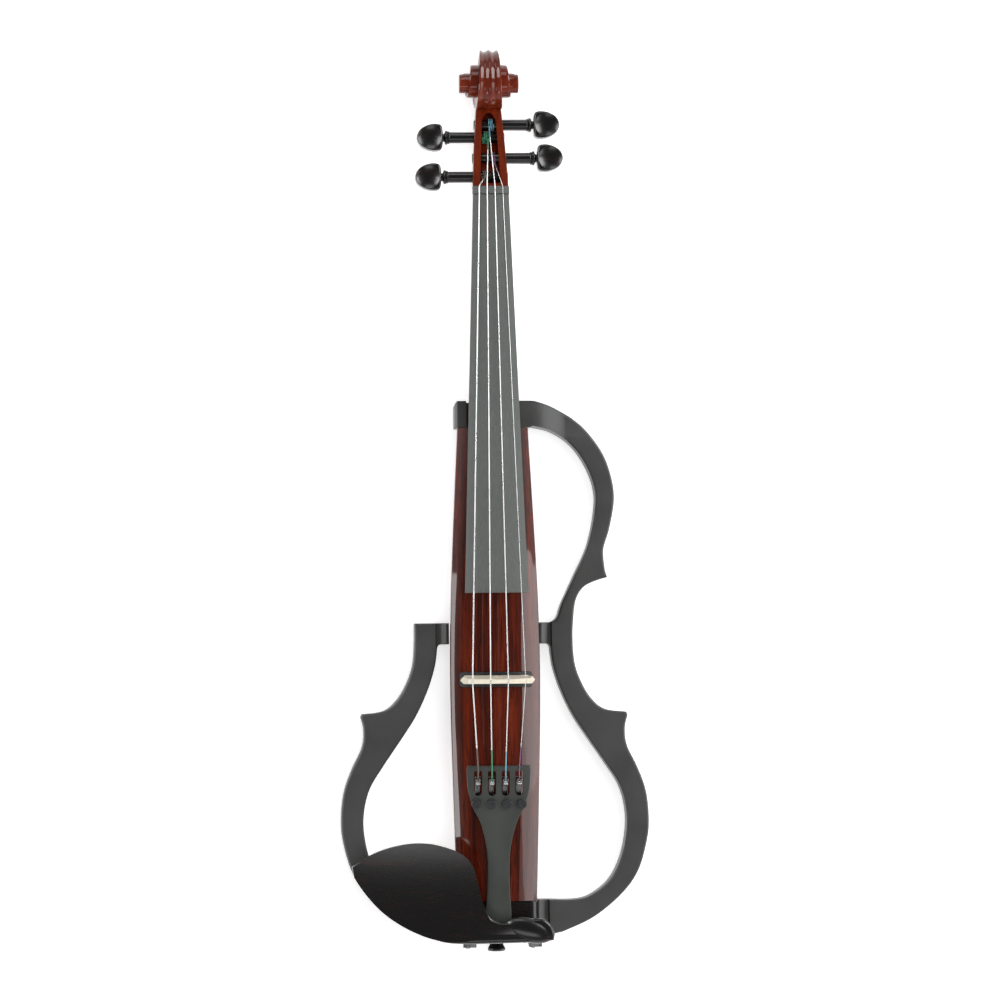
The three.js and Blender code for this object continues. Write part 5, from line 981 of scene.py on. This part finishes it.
# %% [markdown]
# A violin peg is turned on a lathe and its thumb piece is cut flat, then hollowed on both faces so that the
# fingers hold it. The lathe profile gives the shank, the ring and the waist. The thumb piece is a plate with
# rounded edges, and a large ball takes the hollow out of each face.
# %% Pegs
def thumb_outline():
    """Plan of the thumb piece: straight by the waist, with soft corners, and round at its far end."""
    shares = (
        (0.0, 0.3), (0.35, 0.62), (0.7, 0.80), (1.7, 0.93), (3.4, 0.985), (6.0, 1),
        (9.4, 0.94), (12.6, 0.80), (15.2, 0.60), (17.0, 0.32), (17.7, 0))
    upper = [tuple(p) for p in smooth_line([(x, share * 9.15) for x, share in shares], 6)]
    return upper + [(x, -y) for x, y in reversed(upper[:-1])]


PEG_RADIUS, THUMB_HALF, SCOOP_RADIUS, SCOOP_DEPTH = 3.75, 5.5, 17.5, 2.15
peg_rings = [
    (4.25, 16.66), (4.4, 16.9), (4.4, 17.3), (4.2, 17.55), (3.95, 17.65), (4.4, 17.8), (4.75, 18.1), (4.85, 18.5),
    (4.85, 19.1), (4.7, 19.45), (4.3, 19.68), (3.4, 19.8)]
peg_waist = [(2.9, 20.2), (2.7, 20.8), (2.75, 21.6), (3.0, 22.6), (3.2, 24.2), (0, 24.2)]


def make_peg(name, side):
    half = box_half(peg_y[name])
    reach = 2 * half + 0.6
    tip = PEG_RADIUS - reach / 60
    profile = [(0, -reach), (tip - 0.6, -reach), (tip - 0.18, -reach + 0.18), (tip, -reach + 0.6)]
    profile += [(PEG_RADIUS, 0), (3.85, 16.6)] + peg_rings + peg_waist
    shank = turned(profile, 48, (1, 0, 0))
    scoop_z = THUMB_HALF - SCOOP_DEPTH + SCOOP_RADIUS
    scoops = [moved(ball(SCOOP_RADIUS), 9.4, 0, face * scoop_z) for face in (-1, 1)]
    thumb = combined(plate(thumb_outline(), -THUMB_HALF, THUMB_HALF, 1.7, 4), scoops)
    whole = combined(shank, [moved(thumb, 21.2, 0, 0)], "UNION")
    spin = Matrix.Rotation(0 if side > 0 else math.pi, 4, "Z")
    axis = Matrix.Translation(Vector((0, peg_y[name], peg_z[name])) * MM)
    place = axis @ spin @ Matrix.Translation(Vector((half, 0, 0)) * MM)
    bmesh.ops.transform(whole, matrix=place, verts=whole.verts)
    piece("peg_" + name + "_turned", whole, ebony, node="peg_" + name, smooth=30)


for name, side, share, x in peg_rows:
    make_peg(name, side)
print("four pegs, their rings", max(radius for radius, height in peg_rings), "mm in radius")

# %% [markdown]
# The tailpiece holds the string ends. It is an arched wedge that narrows to a slim waist, so its sections
# follow a table of half widths. It is made lying level, its slots and screw bores are cut, and then it is tilted
# down to the saddle as one.
# %% Tailpiece
AFTER_LENGTH, TAIL_TOP, TAIL_HALF, TAIL_ARCH = 0.17683 * STRING, 61, 21.4, 2.6
TAIL_REACH = -TAIL_FACE - 8.1 - AFTER_LENGTH
TAIL_TILT = math.atan((TAIL_TOP - CROWN - 3.84) / TAIL_REACH)
TAIL_LENGTH = TAIL_REACH / math.cos(TAIL_TILT)
tail_place = Matrix.Translation(Vector((0, -AFTER_LENGTH, TAIL_TOP)) * MM) @ Matrix.Rotation(TAIL_TILT, 4, "X")
tail_shares = (
    (0, 0.99), (0.04, 1), (0.14, 0.97), (0.22, 0.87), (0.28, 0.76), (0.335, 0.61),
    (0.4, 0.5), (0.5, 0.39), (0.62, 0.34), (0.8, 0.36), (0.93, 0.4), (1, 0.37))
tail_plan = smooth_line([(along, wide * TAIL_HALF) for along, wide in tail_shares], 12)


def tail_arch(half, x):
    return TAIL_ARCH * (half / TAIL_HALF) * (1 - (x / half) ** 2)


def tail_section(along, half):
    """Arched top, soft shoulders, and a flat underside that is a little narrower."""
    y, depth, soft = -along * TAIL_LENGTH, mix(4.5, 6, along), 0.7
    top = [(x, tail_arch(half, x) - TAIL_ARCH) for x in (mix(half - soft, soft - half, i / 28) for i in range(29))]
    edge = tail_arch(half, half - soft) - TAIL_ARCH
    side = [(half - soft + soft * math.sin(a), edge - soft * (1 - math.cos(a))) for a in (*BEND, 1.57)]
    side += [(half - 0.5, -depth - 0.1), (half - 1.04, -depth - 1.3)]
    places = top + [(-x, z) for x, z in side] + list(reversed(side))
    return [(x, y, z) for x, z in places]


def slot_outline(x, top, low, half):
    """A string slot in plan: nearly square at the bridge end and round at the other."""
    turns = [math.pi * (1 + i / 16) for i in range(17)]
    places = [(x + half * math.cos(a), low + half + half * math.sin(a)) for a in turns]
    return places + [(x + half, top - 0.6), (x + half - 0.6, top), (x - half + 0.6, top), (x - half, top - 0.6)]


def on_tailpiece(x, y, z):
    """A place on the level tailpiece, as a place on the violin in millimetres."""
    return (tail_place @ (Vector((x, y, z)) * MM)) / MM


SLOT_PITCH, SCREW_PITCH, SCREW_Y, UNDERSIDE = 9.2, 10.3, -25.2, -9.1
GUT_X, GUT_Z = 3.5, -4.85
BORE = 1.4
wedge = skin([tail_section(along, half) for along, half in tail_plan])
cuts = [brick(-17, 17, -20, -3, UNDERSIDE, -4.8), brick(-18.85, 18.85, -28.6, -19.9, UNDERSIDE, -4.8)]
for k in (-1.5, -0.5, 0.5, 1.5):
    cuts.append(plate(slot_outline(SLOT_PITCH * k, -3.2, -20, 2.7), UNDERSIDE, 2))
    cuts.append(drill(BORE, -UNDERSIDE, (0, 0, 1), (SCREW_PITCH * k, SCREW_Y, UNDERSIDE)))
for side in (-1, 1):
    cuts.append(drill(BORE, 15, (0, 1, 0), (GUT_X * side, -TAIL_LENGTH - 2, GUT_Z)))
wedge = combined(wedge, cuts)
bmesh.ops.transform(wedge, matrix=tail_place, verts=wedge.verts)
piece("tailpiece_arched", wedge, tail_black, node="tailpiece", smooth=30)
print("tailpiece is", round(TAIL_LENGTH, 1), "mm long, tilted", round(math.degrees(TAIL_TILT), 2), "degrees")
# %% Tuner thumb screws, arms and shanks
HEAD_RADIUS, HEAD_HEIGHT, HEAD_LIFT, RIDGES, RIDGE_DEPTH = 3.1, 3, 1.7, 18, 0.11
for name, k in zip("gdae", (-1.5, -0.5, 0.5, 1.5)):
    x = SCREW_PITCH * k
    low = -TAIL_ARCH + tail_arch(TAIL_HALF, x) + HEAD_LIFT
    rim = []
    for angle in (math.pi * i / 36 for i in range(72)):
        radius = HEAD_RADIUS - RIDGE_DEPTH * (0.5 + 0.5 * math.cos(RIDGES * angle))
        rim.append((x + radius * math.cos(angle), SCREW_Y + radius * math.sin(angle)))
    dish = turned([(0, 0), (1.5, 0), (1.9, 0.25), (2.1, 1), (0, 1)], 32, (0, 0, 1), (x, SCREW_Y, low + 2.75))
    head = combined(plate(rim, low, low + HEAD_HEIGHT, 0.35, 3), [dish])
    bmesh.ops.transform(head, matrix=tail_place, verts=head.verts)
    node = "tuner_head_" + name
    piece(node + "_milled", head, moulded_black, node=node, smooth=40)
    # The arm wears the dimmed steel, which is painted shade for the slot it sits in.
    softened("tuner_lever_" + name, slot_shaded_steel, 0.2)
    softened("tuner_shank_" + name, steel, 0.12)
print("four tuners with", RIDGES, "ridges round each thumb piece")

# %% [markdown]
# The chinrest is a dished plate that stands over the left bout, with a bar that bridges the tailpiece. Its outline
# is one long smooth run, a flattened ball takes out the dish, and its two feet are joined on. The bar's far end
# swells into a small rounded hump.
# %% Chinrest
cup_edge = (
    (-0.945, -0.378), (-0.79, -0.349), (-0.62, -0.334), (-0.475, -0.332), (-0.35, -0.34), (-0.235, -0.356),
    (-0.17, -0.381), (-0.135, -0.418), (-0.112, -0.452), (-0.065, -0.482), (0, -0.494))
cup_bar = ((0.13, -0.494), (0.26, -0.487), (0.325, -0.499), (0.352, -0.518))
cup_rim = (
    (-0.25, -0.537), (-0.42, -0.528), (-0.56, -0.511), (-0.68, -0.489), (-0.78, -0.463), (-0.87, -0.43),
    (-0.932, -0.4))
REST_LOW = TAIL_TOP - TAIL_LENGTH * math.sin(TAIL_TILT) + 1.16
REST_TOP, REST_ROUND = REST_LOW + 11, 2.4
DISH_RADIUS, DISH_CAP, DISH_DEPTH, DISH_SHORT = 340, 15, 4.8, 0.74
FOOT_HALF, FOOT_DEPTH, FOOT_LOW = 9, 12, 35.8


def rest_places(row):
    return [(across * BOUT_HALF, along * STRING) for across, along in row]


rest_line = rest_places(cup_edge[:1])
run(rest_line, rest_places(cup_edge[1:]))
run(rest_line, rest_places(cup_bar))
rest_line += rest_places(((0.345, -0.532),)) + [(0.2 * BOUT_HALF, TAIL_FACE - REST_ROUND)]
run(rest_line, rest_places(cup_rim))
rest = plate(rest_line, REST_LOW, REST_TOP, REST_ROUND, 5)
# Only the lowest cap of the ball reaches the plate, and the Boolean is quicker and cleaner with the rest cut away.
dish = ball(DISH_RADIUS, rings=(360, 300))
far = [v for v in dish.verts if v.co.z > (DISH_CAP - DISH_RADIUS) * MM]
bmesh.ops.delete(dish, geom=far, context="VERTS")
bmesh.ops.holes_fill(dish, edges=[e for e in dish.edges if e.is_boundary], sides=0)
bmesh.ops.scale(dish, vec=(1, DISH_SHORT, 1), verts=dish.verts)
moved(dish, -0.54 * BOUT_HALF, BODY_TAIL + 8, REST_TOP - DISH_DEPTH + DISH_RADIUS)
rest = combined(rest, [dish])
hump = ball(1, (17, 8.2, 5))
bmesh.ops.rotate(hump, cent=(0, 0, 0), matrix=Matrix.Rotation(math.radians(-14), 3, "Z"), verts=hump.verts)
moved(hump, 19.5, -167.6, REST_TOP - 3.4)
feet = []
for middle in (-19.8, 24.2):
    sides = (middle - FOOT_HALF, middle + FOOT_HALF, TAIL_FACE, TAIL_FACE + FOOT_DEPTH)
    feet.append(brick(*sides, FOOT_LOW, REST_LOW + REST_ROUND))
rest = combined(rest, feet + [hump], "UNION")
rest_ebony = polished_ebony("polished_ebony_rest", (0, 0, math.radians(12)))
piece("chinrest_dished", rest, rest_ebony, node="chinrest", smooth=28)
print("chinrest stands from", round(REST_LOW, 1), "to", round(REST_TOP, 1), "mm")

# %% [markdown]
# The strings are wound steel, pulled straight between the nut, the bridge and the tailpiece. Each is a poly curve
# with a round bevel, and its corners are eased so that it bends over the bridge as a real string does. Silk
# sleeves of four colours cover the tail ends, and the same silk is wound round the pegs.
# %% Helpers for strings and silk
def thread(places, radius, sides=3, ease_by=1.2):
    """A round tube along places in millimetres, with its corners eased."""
    path = [Vector(places[0])]
    for before, corner, after in zip(places, places[1:], places[2:]):
        corner = Vector(corner)
        into, out = corner - Vector(before), Vector(after) - corner
        reach = min(ease_by, into.length / 2.2, out.length / 2.2)
        start, end = corner - into.normalized() * reach, corner + out.normalized() * reach
        path += [start * (1 - t) ** 2 + corner * 2 * t * (1 - t) + end * t * t for t in (0, 0.25, 0.5, 0.75, 1)]
    path.append(Vector(places[-1]))
    line = bpy.data.curves.new("thread", "CURVE")
    line.dimensions = "3D"
    spline = line.splines.new("POLY")
    spline.points.add(len(path) - 1)
    for knot, place in zip(spline.points, path):
        knot.co = (*(place * MM), 1)
    line.bevel_depth = radius * MM
    line.bevel_resolution = sides
    line.use_fill_caps = True
    holder = bpy.data.objects.new("thread", line)
    made = bmesh.new()
    made.from_mesh(holder.to_mesh())
    holder.to_mesh_clear()
    bpy.data.objects.remove(holder)
    bpy.data.curves.remove(line)
    bmesh.ops.remove_doubles(made, verts=made.verts, dist=1e-6)
    bmesh.ops.recalc_face_normals(made, faces=made.faces)
    return made


def silk(name, dark, light):
    """Wound silk: fine slanting turns with a soft sheen."""
    cloth = Finish(name, Sheen_Weight=0.4, Sheen_Roughness=0.4, Specular_IOR_Level=0.35)
    turns = cloth.add("TexWave", wave_type="BANDS", bands_direction="DIAGONAL", wave_profile="SIN")
    turns.inputs["Scale"].default_value = 900
    turns.inputs["Distortion"].default_value = 1.2
    cloth.link(cloth.place, turns.inputs["Vector"])
    fuzz = cloth.noise(1800, detail=3)
    tint = cloth.ramp(turns.outputs["Fac"], (0.15, linear(*dark)), (0.8, linear(*light)))
    dullness = cloth.ramp(fuzz, (0.3, 0.62), (0.7, 0.82))
    return cloth.wear(tint, dullness, cloth.bump(turns.outputs["Fac"], 0.00005, 0.6))


def wound_steel():
    """Round-wound string: bright, with a fine ripple along its length."""
    wire = Finish("wound_steel", Metallic=1.0)
    turns = wire.add("TexWave", wave_type="BANDS", bands_direction="Y", wave_profile="SIN")
    turns.inputs["Scale"].default_value = 1100
    turns.inputs["Distortion"].default_value = 0.2
    wire.link(wire.place, turns.inputs["Vector"])
    age = wire.noise(90, detail=3)
    tint = wire.ramp(age, (0.3, (0.80, 0.79, 0.78, 1)), (0.7, (0.93, 0.93, 0.93, 1)))
    dullness = wire.ramp(age, (0.3, 0.22), (0.7, 0.36))
    return wire.wear(tint, dullness, wire.bump(turns.outputs["Fac"], 0.00002, 0.5))


wire = wound_steel()
silks = {
    "g": silk("grey_brown_silk", (70, 62, 52), (122, 112, 98)),
    "d": silk("green_silk", (20, 92, 66), (84, 176, 130)),
    "a": silk("light_blue_silk", (66, 132, 158), (140, 204, 222)),
    "e": silk("purple_silk", (92, 54, 92), (168, 120, 160))}
print("silks:", [m.name for m in silks.values()])
# %% Strings, sleeves, windings and ball ends
# Each row gives a string's name, its place across, its radius and the length of its silk sleeve.
string_rows = (("g", -0.5, 0.42, 14.0), ("d", -1 / 6, 0.38, 13.0), ("a", 1 / 6, 0.34, 11.5), ("e", 0.5, 0.2, 14.5))
peg_facts = {name: (side, x) for name, side, share, x in peg_rows}
SPREAD_AT_TAIL, SPREAD_AT_BRIDGE, SPREAD_AT_NUT = 27.6, 35.5, 16
NOTCH, AIR = 0.5, 0.12
COIL_TURNS, COIL_STEPS = 3, 72
ball_profile = [(0.5, -1.35), (1.35, -1.35), (1.5, -1.2), (1.5, 1.2), (1.35, 1.35), (0.5, 1.35), (0.5, -1.35)]
for name, k, radius, sleeve in string_rows:
    side, peg_x = peg_facts[name]
    tail_x = SPREAD_AT_TAIL * k
    tail_z = tail_arch(TAIL_HALF, tail_x) - TAIL_ARCH + radius + AIR
    tail, hook = on_tailpiece(tail_x, -1.5, tail_z), on_tailpiece(tail_x, -7.65, tail_z)
    x = SPREAD_AT_BRIDGE * k
    top = Vector((x, -1.6, STRINGS_AT_BRIDGE - fall(x) + radius - NOTCH))
    x = SPREAD_AT_NUT * k
    at_nut = Vector((x, NUT, STRINGS_AT_NUT - fall(x) + radius - NOTCH))
    nut_place = at_nut + Vector((0, 5.3, -1.6))
    # From the nut the string runs at a tangent to its winding, and stops just before it.
    centre = Vector((peg_x, peg_y[name], peg_z[name]))
    wound = PEG_RADIUS - box_half(peg_y[name]) / 60 + radius + AIR
    distance = math.hypot(centre.y - nut_place.y, centre.z - nut_place.z)
    whole = math.sqrt(distance ** 2 - wound ** 2)
    reach = whole - math.sqrt((wound + 2 * radius + 2 * AIR) ** 2 - wound ** 2)
    slope = math.atan2(nut_place.z - centre.z, centre.y - nut_place.y) - math.asin(wound / distance)
    end_y, end_z = nut_place.y + reach * math.cos(slope), nut_place.z - reach * math.sin(slope)
    end = Vector((mix(nut_place.x, peg_x, reach / whole), end_y, end_z))
    route = [hook, tail, top, at_nut, nut_place, end]
    node = "string_" + name
    piece(node + "_wound", thread(route, radius), wire, node=node, smooth=60)
    along = (top - tail).normalized()
    cover = thread([hook, tail, tail + along * sleeve], radius + 0.09)
    piece("silk_sleeve_" + name, cover, silks[name], body="instrument", smooth=60)
    lead = thread([end - (end - nut_place).normalized() * min(9, reach - 6), end], radius + 0.07)
    piece("silk_lead_" + name, lead, silks[name], body="instrument", smooth=60)
    pitch = 2 * radius + 0.45
    coil = []
    for i in range(COIL_STEPS + 1):
        angle = 2 * COIL_TURNS * math.pi * i / COIL_STEPS
        x = peg_x + side * pitch * COIL_TURNS * i / COIL_STEPS
        coil.append((x, centre.y + wound * math.sin(angle), centre.z + wound * math.cos(angle)))
    node = "string_winding_" + name
    piece(node + "_silk", thread(coil, radius, 3, 0.2), silks[name], node=node, smooth=60)
    stub = thread([on_tailpiece(tail_x, -8.0, tail_z), on_tailpiece(tail_x, -10.6, tail_z)], radius)
    piece("string_end_" + name, stub, silks[name], body="tuner_arm_" + name, smooth=60)
    barrel = turned(ball_profile, 32, (1, 0, 0), on_tailpiece(tail_x, -11.3, tail_z))
    piece("ball_end_" + name, barrel, steel, body="tuner_arm_" + name, smooth=40)
print("four strings with", len(coil), "places in each winding")

# %% [markdown]
# The bridge is a thin blade of maple. Its solid already has the arch, the wings and the heart, so a merged copy
# gets soft edges, and four slanting cuts bring each wing to the blunt point that shows from above.
# %% Bridge
WING_END, BLADE_Y, POINT_HALF = 24.8, -0.3, 0.45
bridge = softened_copy("bridge")
for across in (-1, 1):
    for along in (-1, 1):
        geometry = bridge.verts[:] + bridge.edges[:] + bridge.faces[:]
        place = Vector((WING_END * across, BLADE_Y + POINT_HALF * along, 0)) * MM
        slant = (across, along * 0.95, 0)
        bmesh.ops.bisect_plane(bridge, geom=geometry, plane_co=place, plane_no=slant, clear_outer=True)
        bmesh.ops.holes_fill(bridge, edges=[e for e in bridge.edges if e.is_boundary], sides=0)
piece("bridge_carved", bridge, maple, node="bridge", edge=0.22, smooth=30)
print("bridge faces:", face_count("bridge_carved"))

# %% [markdown]
# What is left is small: the pickup seat, the black tail block with its saddle and end button, the tailgut loop,
# the chinrest's corks and clamp, and the fittings in the back. Their solids have the right shape already, so
# merged copies get rounded edges, and only the turned button and the gut are made anew.
# %% Tail end and clamp
softened("pickup_seat", moulded_black, 0.2)
softened("tail_block", ebony, 0.5)
softened("saddle", ebony, 0.3)
BUTTON_Z = 20
button_profile = [
    (0, -14), (2.8, -14), (3.3, -13.4), (3.4, 0), (3.4, 3.2), (3.55, 3.6), (4.1, 3.9), (4.35, 4.6), (4.9, 6.0),
    (5.4, 7.0), (5.9, 7.8), (6.1, 8.5), (6.1, 9.1), (5.9, 9.6), (5.2, 10.0), (4.2, 10.2), (2.2, 10.36), (0, 10.4)]
button = turned(button_profile, 48, (0, -1, 0), (0, TAIL_FACE, BUTTON_Z))
piece("end_button_turned", button, ebony, node="end_button", smooth=40)
# Half of the gut's loop: out of the tailpiece, over the saddle, down and half way round the button's neck.
GUT_RADIUS, GUT_OVER, GUT_Y, GUT_BEND, GUT_ROUND = 1.1, 38.8, TAIL_FACE - 1.4, 0.7, 4.8
half_route = [on_tailpiece(GUT_X, -TAIL_LENGTH * 0.9, GUT_Z), on_tailpiece(GUT_X, -TAIL_LENGTH - 0.55, GUT_Z)]
half_route += [Vector((GUT_X, TAIL_FACE + 2.5, GUT_OVER)), Vector((GUT_X, TAIL_FACE - GUT_BEND, GUT_OVER))]
half_route += [Vector((GUT_X, GUT_Y, GUT_OVER - GUT_BEND)), Vector((GUT_ROUND, GUT_Y, BUTTON_Z))]
for angle in (math.pi / 2 * i / 8 for i in range(1, 9)):
    half_route.append(Vector((GUT_ROUND * math.cos(angle), GUT_Y, BUTTON_Z - GUT_ROUND * math.sin(angle))))
other_half = [Vector((-p.x, p.y, p.z)) for p in reversed(half_route[:-1])]
gut = thread(half_route + other_half, GUT_RADIUS, 4, 0.6)
piece("tailgut_loop", gut, moulded_black, node="tailgut", smooth=60)
for node in ("chinrest_cork_left", "chinrest_cork_right", "clamp_foot_cork"):
    softened(node, cork, 0.2)
for node in ("clamp_foot", "clamp_post_left", "clamp_post_right", "clamp_barrel_left", "clamp_barrel_right"):
    softened(node, steel, 0.35)
print("tail end and clamp")
# %% Fittings in the back
for node in ("battery_door", "volume_knob", "tone_knob", "power_switch", "output_socket", "phones_socket"):
    softened(node, moulded_black, 0.25)
for i in (1, 2, 3, 4):
    node = "cover_screw_" + str(i)
    low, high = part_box(node)
    x, y = (low.x + high.x) / 2 / MM, (low.y + high.y) / 2 / MM
    cross = [brick(x - 1.5, x + 1.5, y - 0.3, y + 0.3, 0, 1.5), brick(x - 0.3, x + 0.3, y - 1.5, y + 1.5, 0, 1.5)]
    head = turned([(0, 0.4), (2.2, 0.4), (2.6, 0.65), (2.5, 1.2), (1.82, 2.5), (0, 2.5)], 40, (0, 0, 1), (x, y, 0))
    piece(node + "_crossed", combined(head, cross), steel, node=node, smooth=35)
softened("battery", battery_can, 0.3)
# A flat face with bores through it can't be made whole, so these two keep their triangles and sharp edges.
softened("control_cover", moulded_black, edge=0, smooth=2)
softened("preamp_board", circuit, edge=0)
